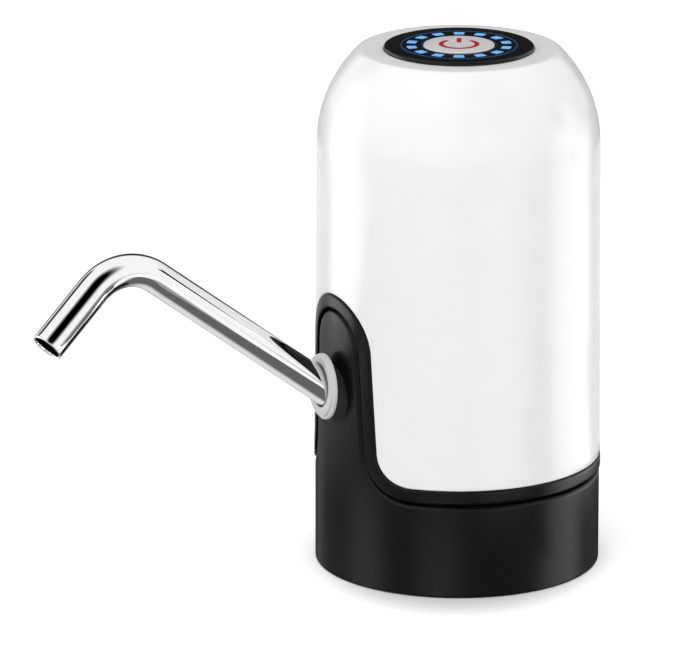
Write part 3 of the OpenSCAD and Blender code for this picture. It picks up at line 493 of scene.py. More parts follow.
def base_mesh():
    """The black base: groove beside the band, rounded panel edge, wall down to a rounded foot, inner wall.

    The rows run in a loop down the outside and up the inside; below the edge every column keeps its
    angle about Z.
    """
    groove = 0.9
    groove_w = 0.8
    groove_slope = 0.05
    tongue = 0.4
    edge = 1.0
    foot_r = 0.6
    inner_foot_r = 0.3
    hole_margin = 1.2
    side_margin = 0.75
    front_columns = 80
    offset, sunk = round_edge(BAND_W + groove_w, edge, 1, 10)
    seam = seam_rows(
        np.concatenate([[BAND_W + SEAT_GAP] * 2, [BAND_W + groove_w - groove_slope], offset]),
        np.concatenate([[BASE_WALL - tongue, edge + groove, edge + groove], sunk]),
        BASE_R,
    )
    angle = column_angles(seam[-1])
    start = seam[-1, :, 2]
    share = np.linspace(0, 1, 52)[1:, None]
    z = start + (foot_r - start) * share
    outside = turned_rows(angle, BASE_R + 0 * z, z)
    inner_r = BASE_R - BASE_WALL
    section = np.concatenate(
        [
            arc((BASE_R - foot_r, foot_r), foot_r, 0, -90, 7)[1:],
            arc((inner_r + inner_foot_r, inner_foot_r), inner_foot_r, 270, 180, 4),
        ]
    )
    foot = turned_rows(angle, section[:, :1], section[:, 1:])
    inner_seam = seam_rows([BAND_W + SEAT_GAP], [BASE_WALL], BASE_R)
    inner_angle = column_angles(inner_seam[0])
    inner_z = (inner_seam[0, :, 2] + (inner_foot_r - inner_seam[0, :, 2]) * share)[-2::-1]
    inside = turned_rows(inner_angle, inner_r + 0 * inner_z, inner_z)
    points = np.concatenate([seam, outside, foot, inside, inner_seam])
    quads = grid_quads(len(points), COLUMNS)
    row_z = outside[:, 0, 2]
    reach = HOLE_R * HOLE_TALL + hole_margin
    high = int(np.argmin(np.abs(row_z - HOLE_Z - reach)))
    low = int(np.argmin(np.abs(row_z - HOLE_Z + reach)))
    first_out = len(seam)
    first_in = len(seam) + len(outside) + len(foot)
    last = len(inside) - 1
    side = int(np.argmin(np.abs(outside[high, :front_columns, 0] - HOLE_R - side_margin)))
    return open_window(
        points,
        quads,
        (first_out + low, first_out + high),
        (first_in + last - low, first_in + last - high),
        (-side, side),
        round_outline,
        on_panel,
        BASE_WALL,
        HOLE_LIP,
    )


def band_mesh():
    """The black band: a strip between two offsets of the seam's outline, its edges rounded."""
    edge = 0.35
    sunk_by = 2.6
    first, first_sunk = round_edge(0.0, edge, 1)
    last, last_sunk = round_edge(BAND_W, edge, -1)
    face = np.linspace(edge, BAND_W - edge, 6)[1:-1]
    offset = np.concatenate([[0.0], first, face, last[::-1], [BAND_W]])
    depth = np.concatenate([[sunk_by], first_sunk, 0 * face, last_sunk[::-1], [sunk_by]])
    points = seam_rows(offset, depth, BAND_R)
    return points, grid_quads(len(points), COLUMNS)


# The spout and its grommet

OUT = np.array([0.0, -math.cos(SPOUT_RISE), math.sin(SPOUT_RISE)])
LIFT = np.array([0.0, math.sin(SPOUT_RISE), math.cos(SPOUT_RISE)])
SIDE = np.array([1.0, 0.0, 0.0])
TURNED_LIFT = LIFT * math.cos(SPOUT_TURN) - SIDE * math.sin(SPOUT_TURN)
TURNED_SIDE = SIDE * math.cos(SPOUT_TURN) + LIFT * math.sin(SPOUT_TURN)


def spout_mesh(columns=96):
    """The bent tube: a ring carried along the long leg, round the bend, down the short leg and back inside.

    Along the bend the place is the corner's arc and the ring stands square to it; both ends have
    half-round lips.
    """
    bend = np.linspace(0, SPOUT_BEND, 40)
    lip = SPOUT_WALL / 2
    long_way = np.concatenate([[-SPOUT_IN + lip], np.linspace(0, SPOUT_LONG, 24)])
    short_way = np.linspace(0, SPOUT_SHORT - lip, 14)
    bend_start = SPOUT_ROOT + OUT * SPOUT_LONG
    along = np.outer(np.cos(bend), OUT) - np.outer(np.sin(bend), TURNED_LIFT)
    lift = np.outer(np.cos(bend), TURNED_LIFT) + np.outer(np.sin(bend), OUT)
    bend_place = bend_start - SPOUT_BEND_R * TURNED_LIFT + SPOUT_BEND_R * lift
    long_place = SPOUT_ROOT + np.outer(long_way, OUT)
    short_place = bend_place[-1] + np.outer(short_way[1:], along[-1])
    place = np.concatenate([long_place, bend_place[1:], short_place])
    longs, shorts = len(long_place), len(short_place)
    way = np.concatenate([np.tile(OUT, (longs, 1)), along[1:], np.tile(along[-1], (shorts, 1))])
    up = np.concatenate([np.tile(TURNED_LIFT, (longs, 1)), lift[1:], np.tile(lift[-1], (shorts, 1))])
    turn = np.linspace(0, math.pi, 7)[1:-1]
    middle_r = SPOUT_R - lip
    tip_r = middle_r + lip * np.cos(turn)
    tip_on = lip * np.sin(turn)
    last = len(place) - 1
    order = np.concatenate(
        [np.arange(last + 1), 0 * turn.astype(int) + last, np.arange(last, -1, -1), 0 * turn.astype(int)]
    )
    outer = np.full(last + 1, SPOUT_R)
    radius = np.concatenate([outer, tip_r, outer - SPOUT_WALL, tip_r[::-1]])
    push = np.concatenate([0 * outer, tip_on, 0 * outer, -tip_on[::-1]])
    ring = np.linspace(0, 2 * math.pi, columns, endpoint=False)[None, :, None]
    centre = (place[order] + way[order] * push[:, None])[:, None]
    spoke = TURNED_SIDE * np.cos(ring) + up[order][:, None] * np.sin(ring)
    points = centre + radius[:, None, None] * spoke
    return points, grid_quads(len(points), columns)


def sloped(r, y, columns=128):
    """The upright cut at y through a bar of radius r along the spout.

    A point is the axis plus r (side cos t + lift sin t), moved along the spout until it reaches y,
    which may differ from point to point.
    """
    t = np.linspace(0, 2 * math.pi, columns, endpoint=False)
    ring = SPOUT_ROOT + r * (np.outer(np.cos(t), SIDE) + np.outer(np.sin(t), LIFT))
    return ring + ((y - ring[:, 1]) / OUT[1])[:, None] * OUT


def grommet_mesh(columns=128):
    """The grommet: an oval flange, a smaller oval ring on it, and a sleeve bored along the spout's slope.

    Each column is a direction t. An oval is x = a cos t, z = z0 + (a + tall) sin t; the rows run from
    the sleeve out along the flange's back, over both edges to the face and down the bore. An edge is
    a curve drawn towards its corner's own place.
    """
    t = np.linspace(0, 2 * math.pi, columns, endpoint=False)

    def oval(a, up, y):
        return np.stack([a * np.cos(t), y + 0 * t, GROMMET_Z + up + (a + GROMMET_TALL) * np.sin(t)], -1)

    def curve(first, corner, end, steps=6):
        share = np.linspace(0, 1, steps)[:, None, None]
        return first * (1 - share) ** 2 + 2 * corner * share * (1 - share) + end * share**2

    face_y = GROMMET_FACE_Y
    step_y = GROMMET_BACK_Y - GROMMET_FLANGE_T
    ring_a = GROMMET_R - 0.5
    ring_up = 0.4
    soft = 0.3
    lip = 0.35
    mouth = sloped(GROMMET_BORE_R, face_y)
    face_edge = oval(ring_a - soft, ring_up, face_y)
    to_edge = face_edge - mouth
    face_in = mouth + to_edge * (lip / np.linalg.norm(to_edge, axis=1))[:, None]
    deep_y = 2.0 - BASE_R
    rows = [
        sloped(SLEEVE_R, deep_y)[None],
        sloped(SLEEVE_R, GROMMET_BACK_Y)[None],
        oval(GROMMET_R, 0, GROMMET_BACK_Y)[None],
        curve(
            oval(GROMMET_R, 0, step_y + soft),
            oval(GROMMET_R, 0, step_y),
            oval(GROMMET_R - soft, 0, step_y),
        ),
        oval(ring_a, ring_up, step_y)[None],
        curve(oval(ring_a, ring_up, face_y + soft), oval(ring_a, ring_up, face_y), face_edge),
        ((face_edge + face_in) / 2)[None],
        curve(face_in, mouth, sloped(GROMMET_BORE_R, face_y + lip)),
        sloped(GROMMET_BORE_R, deep_y)[None],
    ]
    points = np.concatenate(rows)
    return points, grid_quads(len(points), columns)


def collar_mesh(columns=128):
    """The base's collar behind the grommet: a sloped tube from inside the panel out to the flange."""
    end_y = GROMMET_BACK_Y + 0.1
    t = np.linspace(0, 2 * math.pi, columns, endpoint=False)
    panel_r = BASE_R - BASE_WALL / 2
    rows = []
    for r, y in ((COLLAR_R, None), (COLLAR_R, end_y), (COLLAR_BORE_R, end_y), (COLLAR_BORE_R, None)):
        x = r * np.cos(t)
        rows.append(sloped(r, -np.sqrt(panel_r**2 - x * x) if y is None else y))
    return np.stack(rows), grid_quads(4, columns)


# The display


def ribbons(path, across, half, low, high):
    """Flat bars along paths: at each point a box from -half to half across the path and from low to high.

    path and across are arrays of bar, point, 2 and half is one number for each point; a bar ends
    where half is 0.
    """
    side = np.array([-1.0, -1.0, 1.0, 1.0])
    height = np.array([low, high, high, low])
    flat = path[:, :, None] + across[:, :, None] * (half[None, :, None] * side)[..., None]
    points = np.concatenate([flat, np.broadcast_to(height[:, None], flat.shape[:3] + (1,))], -1)
    bars, count = path.shape[:2]
    one = grid_quads(count, 4, row_loop=False).reshape(-1, 4)
    quads = one[None] + (np.arange(bars) * count * 4)[:, None, None]
    return points, quads


def bar_half(length, half, corner, steps):
    """Places along a bar and its half width there, with corners rounded by arcs and both ends closed."""
    turn = np.linspace(0, math.pi / 2, 7)
    start = corner * (1 - np.cos(turn))
    width = half - corner + corner * np.sin(turn)
    inner = np.linspace(corner, length - corner, steps)[1:-1]
    place = np.concatenate([[0], start, inner, length - start[::-1], [length]])
    return place, np.concatenate([[0], width, 0 * inner + half, width[::-1], [0]])


def segment_mesh():
    """The lit segments: bars bent round the button, each centred on its own angle, less the printed mask."""
    corner = 0.3
    sunk = 0.4
    middle = (SEGMENT_IN_R + SEGMENT_OUT_R) / 2
    span = SEGMENT_SPAN - 2 * SEGMENT_MASK / middle
    half_w = (SEGMENT_OUT_R - SEGMENT_IN_R) / 2 - SEGMENT_MASK
    place, half = bar_half(span * middle, half_w, corner, 14)
    centre = SEGMENT_START + 2 * math.pi * np.arange(SEGMENTS) / SEGMENTS
    angle = centre[:, None] + place / middle - span / 2
    spoke = np.stack([np.cos(angle), np.sin(angle)], -1)
    return ribbons(middle * spoke, spoke, half, LENS_LOW + sunk, LENS_TOP + PRINT_T)


def ring_mesh(r, half):
    """A thin printed circle on the window."""
    low, high = LENS_TOP - PRINT_SINK, LENS_TOP + PRINT_T
    sides = [(r - half, low), (r + half, low), (r + half, high), (r - half, high)]
    return lathe(rounded([side + (PRINT_EDGE,) for side in sides], 3), 160)


def symbol_mesh():
    """The power symbol: an open circle and a short bar through its gap, upright as seen by the camera.

    Away points from the camera; angles on the circle are counted from it.
    """
    away = np.array([-math.sin(CAMERA_TURN), math.cos(CAMERA_TURN)])
    beside = np.array([math.cos(CAMERA_TURN), math.sin(CAMERA_TURN)])
    low, high = BUTTON_TOP - PRINT_SINK, BUTTON_TOP + PRINT_T
    half = 0.58
    r = 4.35
    gap = math.radians(36)
    place, width = bar_half(2 * (math.pi - gap) * r, half, half, 90)
    angle = gap + place / r
    spoke = np.outer(np.cos(angle), away) + np.outer(np.sin(angle), beside)
    circle = ribbons((r * spoke)[None], spoke[None], width, low, high)
    bar_low, bar_high = 1.5, 6.2
    place, width = bar_half(bar_high - bar_low, half, half, 6)
    path = np.outer(bar_low + place, away)
    bar = ribbons(path[None], np.repeat(beside[None], len(path), 0)[None], width, low, high)
    first = circle[0].reshape(-1, 3)
    return (
        np.concatenate([first, bar[0].reshape(-1, 3)]),
        np.concatenate([circle[1].reshape(-1, 4), bar[1].reshape(-1, 4) + len(first)]),
    )


def lens_mesh():
    """The window: a ring with a rounded rim, a softer edge outside than round the button."""
    hole = BUTTON_R + BUTTON_GAP
    return lathe(
        rounded(
            [
                (hole, LENS_LOW, 0.05),
                (LENS_R, LENS_LOW, 0.05),
                (LENS_R, LENS_TOP, 0.45),
                (hole, LENS_TOP, 0.15),
            ]
        )
    )


def button_mesh():
    """The button: a disc with a small round edge, its hidden flange and the stem that meets the switch."""
    stem_r = 2.0
    flange_t = 0.7
    edge = 0.3
    section = np.concatenate(
        [
            [[0, BUTTON_TOP], [BUTTON_R * 0.5, BUTTON_TOP]],
            arc((BUTTON_R - edge, BUTTON_TOP - edge), edge, 90, 0, 6),
            [[BUTTON_R, FLANGE_Z + flange_t], [FLANGE_R, FLANGE_Z + flange_t], [FLANGE_R, FLANGE_Z]],
            [[stem_r, FLANGE_Z], [stem_r, BUTTON_LOW], [0, BUTTON_LOW]],
        ]
    )
    return lathe(section)


def seal_mesh():
    """The bottle seal: a sleeve whose inner side has three soft lips that touch the neck."""
    lips = 3
    lip_deep = 0.45
    margin = 0.8
    bevel = 0.4
    neck_r = SEAL_R - 5.6
    mouth_r = neck_r + 1.6
    outer_r = BASE_R - BASE_WALL - SEAT_GAP / 2
    wave = np.linspace(0, lips * 2 * math.pi, 61)
    z = np.linspace(margin, SEAL_H - margin, 61)
    inner = np.stack([neck_r + lip_deep * (1 + np.cos(wave)), z], -1)
    top = [[mouth_r, SEAL_H], [outer_r - bevel, SEAL_H], [outer_r, SEAL_H - bevel]]
    bottom = [[outer_r, bevel], [outer_r - bevel, 0], [mouth_r, 0]]
    return lathe(np.concatenate([inner, top, bottom]))


def diaphragm_mesh(columns=144):
    """The pump's diaphragm: a disc with three cups that end below the cone the wobble plate's face sweeps.

    At radius r the cone's height falls by r times the tangent of the tilt. A cup's share of that
    height is a smooth step of the distance to the nearest cup's centre.
    """
    low, high = frame_box("diaphragm")
    disc_r = (high[0] - low[0]) / 2
    r = np.linspace(0, disc_r, 80)[:, None]
    t = np.linspace(0, 2 * math.pi, columns, endpoint=False)
    x, y = r * np.cos(t), r * np.sin(t)
    cup_x, cup_y = CUP_RING_R * np.cos(CUP_ANGLES), CUP_RING_R * np.sin(CUP_ANGLES)
    off = np.hypot(x[..., None] - cup_x, y[..., None] - cup_y).min(-1)
    share = np.clip((CUP_R - off) / CUP_EDGE, 0, 1)
    share = share * share * (3 - 2 * share)
    cone = PIVOT_UP - WOBBLE_T / 2 / math.cos(WOBBLE_TILT) - r * math.tan(WOBBLE_TILT) - CUP_GAP
    top = MEMBRANE_T + (cone - MEMBRANE_T) * share
    order = np.append(np.arange(len(r)), [len(r) - 1, 0])
    height = np.concatenate([top, 0 * top[:2]])
    points = np.stack([x[order], y[order], height], -1)
    seat = [(low[0] + high[0]) / 2, (low[1] + high[1]) / 2, low[2]]
    return points + seat, grid_quads(len(order), columns)


# Materials


def linear(code):
    """Linear colour of an sRGB hex code: each share s becomes ((s + 0.055) / 1.055) to the power 2.4."""
    share = np.array([int(code[i : i + 2], 16) for i in (1, 3, 5)]) / 255
    flat = np.where(share <= 0.04045, share / 12.92, ((share + 0.055) / 1.055) ** 2.4)
    return tuple(float(v) for v in flat) + (1.0,)


def add_node(tree, kind, links=(), **settings):
    """Adds a shader node: settings are its properties, links pair an input with a value or an output."""
    node = tree.nodes.new(kind)
    for name, value in settings.items():
        setattr(node, name, value)
    for socket, value in links:
        if isinstance(value, bpy.types.NodeSocket):
            tree.links.new(value, node.inputs[socket])
        else:
            node.inputs[socket].default_value = value
    return node


def finish(name, tones, rough, grain, bump=0.0, stretch=(1, 1, 1), turn=0.0, detail=3.0, **values):
    """A Principled material with two tones, a range of roughness and a bump that all follow one grain.

    grain is the size of the grain in millimetres, bump its height in millimetres, stretch how many
    times longer it is along each axis, and turn its direction about Z. values are set on the shader's
    own sockets.
    """
    made = bpy.data.materials.new(name)
    made.use_nodes = True
    tree = made.node_tree
    shader = tree.nodes["Principled BSDF"]
    for socket, value in values.items():
        shader.inputs[socket.replace("_", " ")].default_value = value
    where = add_node(tree, "ShaderNodeTexCoord")
    place = add_node(
        tree,
        "ShaderNodeMapping",
        [("Vector", where.outputs["Object"]), ("Rotation", (0, 0, turn))],
    )
    size = add_node(
        tree,
        "ShaderNodeMapping",
        [("Vector", place.outputs[0]), ("Scale", tuple(1 / (grain * MM * s) for s in stretch))],
    )
    noise = add_node(
        tree,
        "ShaderNodeTexNoise",
        [("Vector", size.outputs[0]), ("Scale", 1.0), ("Detail", detail), ("Roughness", 0.55)],
    )
    tone = add_node(
        tree,
        "ShaderNodeMix",
        [(0, noise.outputs[0]), (6, linear(tones[0])), (7, linear(tones[1]))],
        data_type="RGBA",
    )
    tree.links.new(tone.outputs[2], shader.inputs["Base Color"])
    roughness = add_node(
        tree,
        "ShaderNodeMapRange",
        [(0, noise.outputs[0]), (1, 0.3), (2, 0.7), (3, rough[0]), (4, rough[1])],
    )
    tree.links.new(roughness.outputs[0], shader.inputs["Roughness"])
    if bump:
        relief = add_node(
            tree,
            "ShaderNodeBump",
            [("Strength", 1.0), ("Distance", bump * MM), ("Height", noise.outputs[0])],
        )
        tree.links.new(relief.outputs[0], shader.inputs["Normal"])
    return made


# Glossy moulded ABS: even white with a clear reflection and the faint waviness of a polished mould
white_abs = finish(
    "gloss_white_abs", ("#EDEDEC", "#F1F1F0"), (0.16, 0.22), 6.0, 0.004, detail=1.0, IOR=1.53
)

# Satin moulded ABS: near black, with a spark-eroded grain drawn coarser than the real one so that it shows
black_abs = finish(
    "satin_black_abs", ("#0A0A0B", "#101011"), (0.26, 0.36), 0.45, 0.004, IOR=1.53, Specular_IOR_Level=0.2
)

# Smoother moulded ABS of the band: a darker and closer reflection than the base
band_abs = finish(
    "smooth_black_abs", ("#0C0C0D", "#0F0F10"), (0.24, 0.28), 0.6, 0.001, IOR=1.53, Specular_IOR_Level=0.2
)

# Matt moulded ABS of the collar behind the grommet, with hardly any reflection: the base's own black
# plastic, drawn in a lighter dark grey as painted light that lifts its shaded side to match the panel
collar_abs_painted_lighter = finish(
    "black_abs_painted_lighter", ("#29292A", "#2F2F30"), (0.5, 0.6), 0.45, 0.004, IOR=1.53, Specular_IOR_Level=0.2
)

# Chrome plate on a drawn steel tube: mirror bright, with the faintest waviness along the tube
chrome = finish("chrome_plate", ("#F2F2F3", "#F7F7F8"), (0.03, 0.06), 5.0, 0.001, detail=1.0, Metallic=1.0)

# Moulded silicone: pale grey, matt, a little light passing under its skin
grey_silicone = finish(
    "pale_silicone",
    ("#CFCFCD", "#D6D6D4"),
    (0.45, 0.6),
    0.8,
    0.01,
    IOR=1.42,
    Subsurface_Weight=0.15,
    Subsurface_Scale=0.0015,
)

# Black-backed acrylic sheet: polished and almost a mirror at low angles
black_acrylic = finish(
    "black_acrylic",
    ("#070809", "#0A0B0D"),
    (0.05, 0.09),
    4.0,
    0.001,
    detail=1.0,
    IOR=1.49,
    Specular_IOR_Level=0.25,
)

# Light guide of clear acrylic over blue lamps: an even light blue that glows by itself
lit_blue = finish(
    "lit_blue_acrylic",
    ("#5AA6E8", "#68B0EE"),
    (0.12, 0.2),
    1.2,
    IOR=1.49,
    Emission_Color=linear("#6CB4F2"),
    Emission_Strength=0.4,
)

# Printing ink under the window and on the button
blue_ink = finish("blue_printing_ink", ("#1B4F8C", "#225C9C"), (0.2, 0.3), 0.5, IOR=1.5)
dark_blue_ink = finish("dark_blue_printing_ink", ("#0F2A52", "#14335F"), (0.2, 0.3), 0.5, IOR=1.5)
red_ink = finish(
    "red_printing_ink", ("#A80C16", "#B4101C"), (0.4, 0.5), 0.3, 0.002, IOR=1.5, Specular_IOR_Level=0.15
)

# Silver lacquer on a brushed button: pale by itself, with fine straight scratches that spread the light
silver_lacquer = finish(
    "brushed_silver_lacquer",
    ("#CDCDCC", "#DEDEDD"),
    (0.3, 0.46),
    0.16,
    0.004,
    stretch=(1, 60, 1),
    turn=math.radians(-25),
    Metallic=0.15,
)

# Inner and under-side materials
black_rubber = finish("black_nitrile_rubber", ("#121212", "#1A1A1A"), (0.6, 0.75), 0.5, 0.01)
clear_vinyl = finish(
    "clear_vinyl_hose", ("#D5D8D6", "#E0E2E0"), (0.2, 0.3), 1.5, IOR=1.53, Transmission_Weight=0.5
)
natural_acetal = finish("natural_acetal", ("#DCDAD2", "#E4E2DA"), (0.35, 0.45), 0.7, 0.004, IOR=1.48)
inner_abs = finish("matt_black_abs", ("#1A1A1B", "#222223"), (0.5, 0.62), 0.5, 0.012, IOR=1.53)
zinc_steel = finish("zinc_plated_steel", ("#A9ABAD", "#BDBFC1"), (0.22, 0.34), 0.6, 0.003, Metallic=1.0)
ferrite = finish("ferrite_magnet", ("#2A2A2B", "#363637"), (0.6, 0.7), 0.4, 0.01)
winding = finish(
    "enamelled_copper_winding", ("#7A3B1E", "#96502C"), (0.3, 0.42), 0.35, 0.05, stretch=(1, 1, 12)
)
brass = finish("sintered_bronze", ("#9A7440", "#B0884E"), (0.3, 0.42), 0.4, 0.004, Metallic=1.0)
nickel = finish("nickel_strip", ("#B4B2AA", "#C6C4BC"), (0.25, 0.35), 0.5, 0.003, Metallic=1.0)
cell_wrap = finish("shrink_wrap_film", ("#1F5F9E", "#2A6CAB"), (0.2, 0.3), 2.0, 0.004, IOR=1.53)
green_board = finish("green_circuit_board", ("#14532F", "#1B6138"), (0.3, 0.42), 0.5, 0.006, IOR=1.55)
lamp_resin = finish("lamp_resin", ("#E6E3D2", "#F0EDDC"), (0.25, 0.35), 0.4, IOR=1.5)
red_wire = finish("red_vinyl_wire", ("#9E1B1B", "#AE2424"), (0.35, 0.45), 0.6, 0.004)
black_wire = finish("black_vinyl_wire", ("#151515", "#1D1D1D"), (0.35, 0.45), 0.6, 0.004)

CAD_FINISHES = {
    inner_abs: [
        "deck_plate",
        "pump_stand",
        "pump_head",
        "pump_bracket",
        "spout_socket",
        "battery_cradle",
        "switch_body",
    ],
    natural_acetal: ["suction_nipple", "valve_plate", "wobble_plate", "eccentric", "switch_plunger"],
    black_rubber: ["nipple_seal", "spout_o_rings", "valve_flaps"],
    clear_vinyl: ["suction_hose", "delivery_hose"],
    zinc_steel: [
        "case_screws",
        "pump_screws",
        "board_screws",
        "crank_pin",
        "motor_shaft",
        "motor_can",
        "usb_socket",
    ],
    ferrite: ["motor_magnets"],
    winding: ["motor_armature"],
    brass: ["commutator", "motor_bearings", "motor_terminals"],
    nickel: ["battery_tabs"],
    cell_wrap: ["battery_cell"],
    green_board: ["charge_board", "led_board"],
    lamp_resin: ["led_chips"],
    red_wire: ["motor_leads", "charge_leads"],
    black_wire: ["battery_leads", "motor_end_cap"],
}
for dressing, names in CAD_FINISHES.items():
    for name in names:
        node_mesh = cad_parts[name].data
        node_mesh.materials.clear()
        node_mesh.materials.append(dressing)


# Pieces

BODY = "pump_body"
piece("shell_cover", *shell_mesh(), BODY, "shell_white", white_abs, ["upper_shell"])
piece("base_cover", *base_mesh(), BODY, "base_black", black_abs, ["base_housing"])
piece("band_trim", *band_mesh(), BODY, "band_black", band_abs, ["seam_band"])
piece("spout_pipe", *spout_mesh(), "spout", "spout_chrome", chrome, ["spout_tube"])
# The collar wears the lighter grey of painted light, though it is the base's black ABS
piece("spout_collar", *collar_mesh(), BODY, "base_black", collar_abs_painted_lighter)
piece("spout_gland", *grommet_mesh(), BODY, "grommet_silicone", grey_silicone, ["spout_grommet"])
piece("window_ring", *lens_mesh(), BODY, "lens_black", black_acrylic, ["display_lens"])
piece("lit_segments", *segment_mesh(), BODY, "light_blue", lit_blue, ["light_guide"])
piece("outer_circle", *ring_mesh(*OUTER_CIRCLE), BODY, "light_blue", blue_ink)
piece("inner_circle", *ring_mesh(*INNER_CIRCLE), BODY, "light_blue", dark_blue_ink)
piece("button_disc", *button_mesh(), "button", "button_silver", silver_lacquer, ["button_cap"])
piece("power_symbol", *symbol_mesh(), "button", "button_silver", red_ink)
piece("neck_sleeve", *seal_mesh(), BODY, "seal_silicone", grey_silicone, ["bottle_seal"])
piece("pump_membrane", *diaphragm_mesh(), BODY, "black_rubber", black_rubber, ["diaphragm"])


# Floor, light and camera

FLOOR = 5000.0
# Painted shadow round the foot: the squeeze of its oval, the distances where the paper's own light starts
# and is full, and that light's level
PAINTED_SHADOW_WIDE = 0.7
PAINTED_SHADOW_CORE = 36.0
PAINTED_SHADOW_END = 57.0
PAPER_GLOW = 0.42
RING_LIFT = 0.2
FLAG_LIFT = 0.4
FLAG_NEAR = 58.0
FLAG_FAR = 235.0
FLAG_TURNS = 44, 54, 65, 61
FLAG_LEVEL = 0.17
SKY_LOW = 1.15
SKY_TOP = 0.5
ROOM_DARK = 0.13
ROOM_EDGE = -0.2, -0.08


def stage_sheet(name, corners, finish_used):
    """A flat sheet of one face through its corners in millimetres."""
    mesh = bpy.data.meshes.new(name)
    mesh.from_pydata((np.asarray(corners, float) * MM).tolist(), [], [tuple(range(len(corners)))])
    mesh.materials.append(finish_used)
    sheet = bpy.data.objects.new(name, mesh)
    bpy.context.scene.collection.objects.link(sheet)
    return sheet


# Matt white paper: lit as it is, with light of its own for the camera away from the object, so that it
# ends in white. That light fades out over an oval round the foot, turned to the camera, which paints a
# shadow there on top of the real one. Mirrors don't see it: they see the cards and the room below
paper = finish(
    "matt_white_paper", ("#EFEFEF", "#F1F1F1"), (0.9, 1.0), 4.0, IOR=1.3, Emission_Color=(1, 1, 1, 1)
)
paper_ray = add_node(paper.node_tree, "ShaderNodeLightPath")
seen = add_node(
    paper.node_tree,
    "ShaderNodeMath",
    [(0, paper_ray.outputs["Is Camera Ray"]), (1, paper_ray.outputs["Is Transmission Ray"])],
    operation="MAXIMUM",
)
spot = add_node(paper.node_tree, "ShaderNodeTexCoord")
squeezed = add_node(
    paper.node_tree,
    "ShaderNodeMapping",
    [
        ("Vector", spot.outputs["Object"]),
        ("Rotation", (0, 0, CAMERA_TURN)),
        ("Scale", (PAINTED_SHADOW_WIDE, 1, 1)),
    ],
    vector_type="TEXTURE",
)
far_off = add_node(
    paper.node_tree, "ShaderNodeVectorMath", [(0, squeezed.outputs[0])], operation="LENGTH"
)
# The paper's own light is left out near the object, which paints a shadow there
share = add_node(
    paper.node_tree,
    "ShaderNodeMapRange",
    [(0, far_off.outputs["Value"]), (1, PAINTED_SHADOW_CORE * MM), (2, PAINTED_SHADOW_END * MM), (3, 0.0), (4, PAPER_GLOW)],
    interpolation_type="SMOOTHSTEP",
)
glow = add_node(
    paper.node_tree, "ShaderNodeMath", [(0, seen.outputs[0]), (1, share.outputs[0])], operation="MULTIPLY"
)
paper_shader = paper.node_tree.nodes["Principled BSDF"]
paper.node_tree.links.new(glow.outputs[0], paper_shader.inputs["Emission Strength"])
floor = stage_sheet(
    "floor", [(-FLOOR, -FLOOR, 0), (FLOOR, -FLOOR, 0), (FLOOR, FLOOR, 0), (-FLOOR, FLOOR, 0)], paper
)
floor.visible_glossy = False

VIEW = np.array(
    [
        math.sin(CAMERA_TURN) * math.cos(CAMERA_RISE),
        -math.cos(CAMERA_TURN) * math.cos(CAMERA_RISE),
        math.sin(CAMERA_RISE),
    ]
)
RIGHT = np.array([math.cos(CAMERA_TURN), math.sin(CAMERA_TURN), 0.0])
UP = np.cross(VIEW, RIGHT)


def way_from_camera(turn, rise=0.0):
    """The direction at an angle to the right of the camera and at a height angle, both in degrees."""
    angle = math.radians(turn) + CAMERA_TURN
    tilt = math.radians(rise)
    return math.sin(angle) * math.cos(tilt), -math.cos(angle) * math.cos(tilt), math.sin(tilt)


def lamp(name, turn, rise, far, size, power):
    """A soft rectangular lamp that faces the object, at an angle right of the camera and a height angle."""
    way = np.array(way_from_camera(turn, rise))
    light = bpy.data.lights.new(name, "AREA")
    light.shape = "RECTANGLE"
    light.size = size[0] * MM
    light.size_y = size[1] * MM
    light.energy = power
    made = bpy.data.objects.new(name, light)
    bpy.context.scene.collection.objects.link(made)
    made.location = Vector((np.array([0, 0, LOOK_Z]) + way * far) * MM)
    made.rotation_euler = Vector(way).to_track_quat("Z", "Y").to_euler()
    made.visible_camera = False
    return made


key = lamp("key_box", -20, 58, 800, (560, 380), 2.3)
key.visible_glossy = False


def shaped(tree, way, total, lobes, operation="ADD"):
    """Adds soft round lobes to a level of light, or multiplies it by them, and gives the result's socket.

    A lobe is its direction to the right of the camera and its height angle, the angles from there at
    which it has faded out and at which it is full, all in degrees, and its strength.
    """
    rest = 0.0 if operation == "ADD" else 1.0
    for turn, rise, edge, core, strength in lobes:
        centre = way_from_camera(turn, rise)
        near = add_node(tree, "ShaderNodeVectorMath", [(0, way), (1, centre)], operation="DOT_PRODUCT")
        ends = math.cos(math.radians(edge)), math.cos(math.radians(core))
        lobe = add_node(
            tree,
            "ShaderNodeMapRange",
            [(0, near.outputs["Value"]), (1, ends[0]), (2, ends[1]), (3, rest), (4, strength)],
            interpolation_type="SMOOTHSTEP",
        )
        joined = add_node(tree, "ShaderNodeMath", [(0, total), (1, lobe.outputs[0])], operation=operation)
        total = joined.outputs[0]
    return total


def floor_places(reach, turn):
    """Places on the floor at distances from the object's axis and angles right of the camera in degrees."""
    angle = np.radians(turn) + CAMERA_TURN
    return np.stack([reach * np.sin(angle), -reach * np.cos(angle), 0 * angle], -1)


def mirror_card(name, corners, lift, level, lobes=()):
    """A flat card just over the floor that only mirrors see: an even level of light, with soft lobes."""
    made = bpy.data.materials.new(name)
    made.use_nodes = True
    tree = made.node_tree
    spot = add_node(tree, "ShaderNodeTexCoord")
    way = add_node(tree, "ShaderNodeVectorMath", [(0, spot.outputs["Object"])], operation="NORMALIZE")
    light = add_node(tree, "ShaderNodeEmission", [("Strength", shaped(tree, way.outputs[0], level, lobes))])
    tree.links.new(light.outputs[0], tree.nodes["Material Output"].inputs["Surface"])
    card = stage_sheet(name, corners + [0, 0, lift], made)
    card.visible_camera = False
    card.visible_diffuse = False
    card.visible_transmission = False
    card.visible_shadow = False


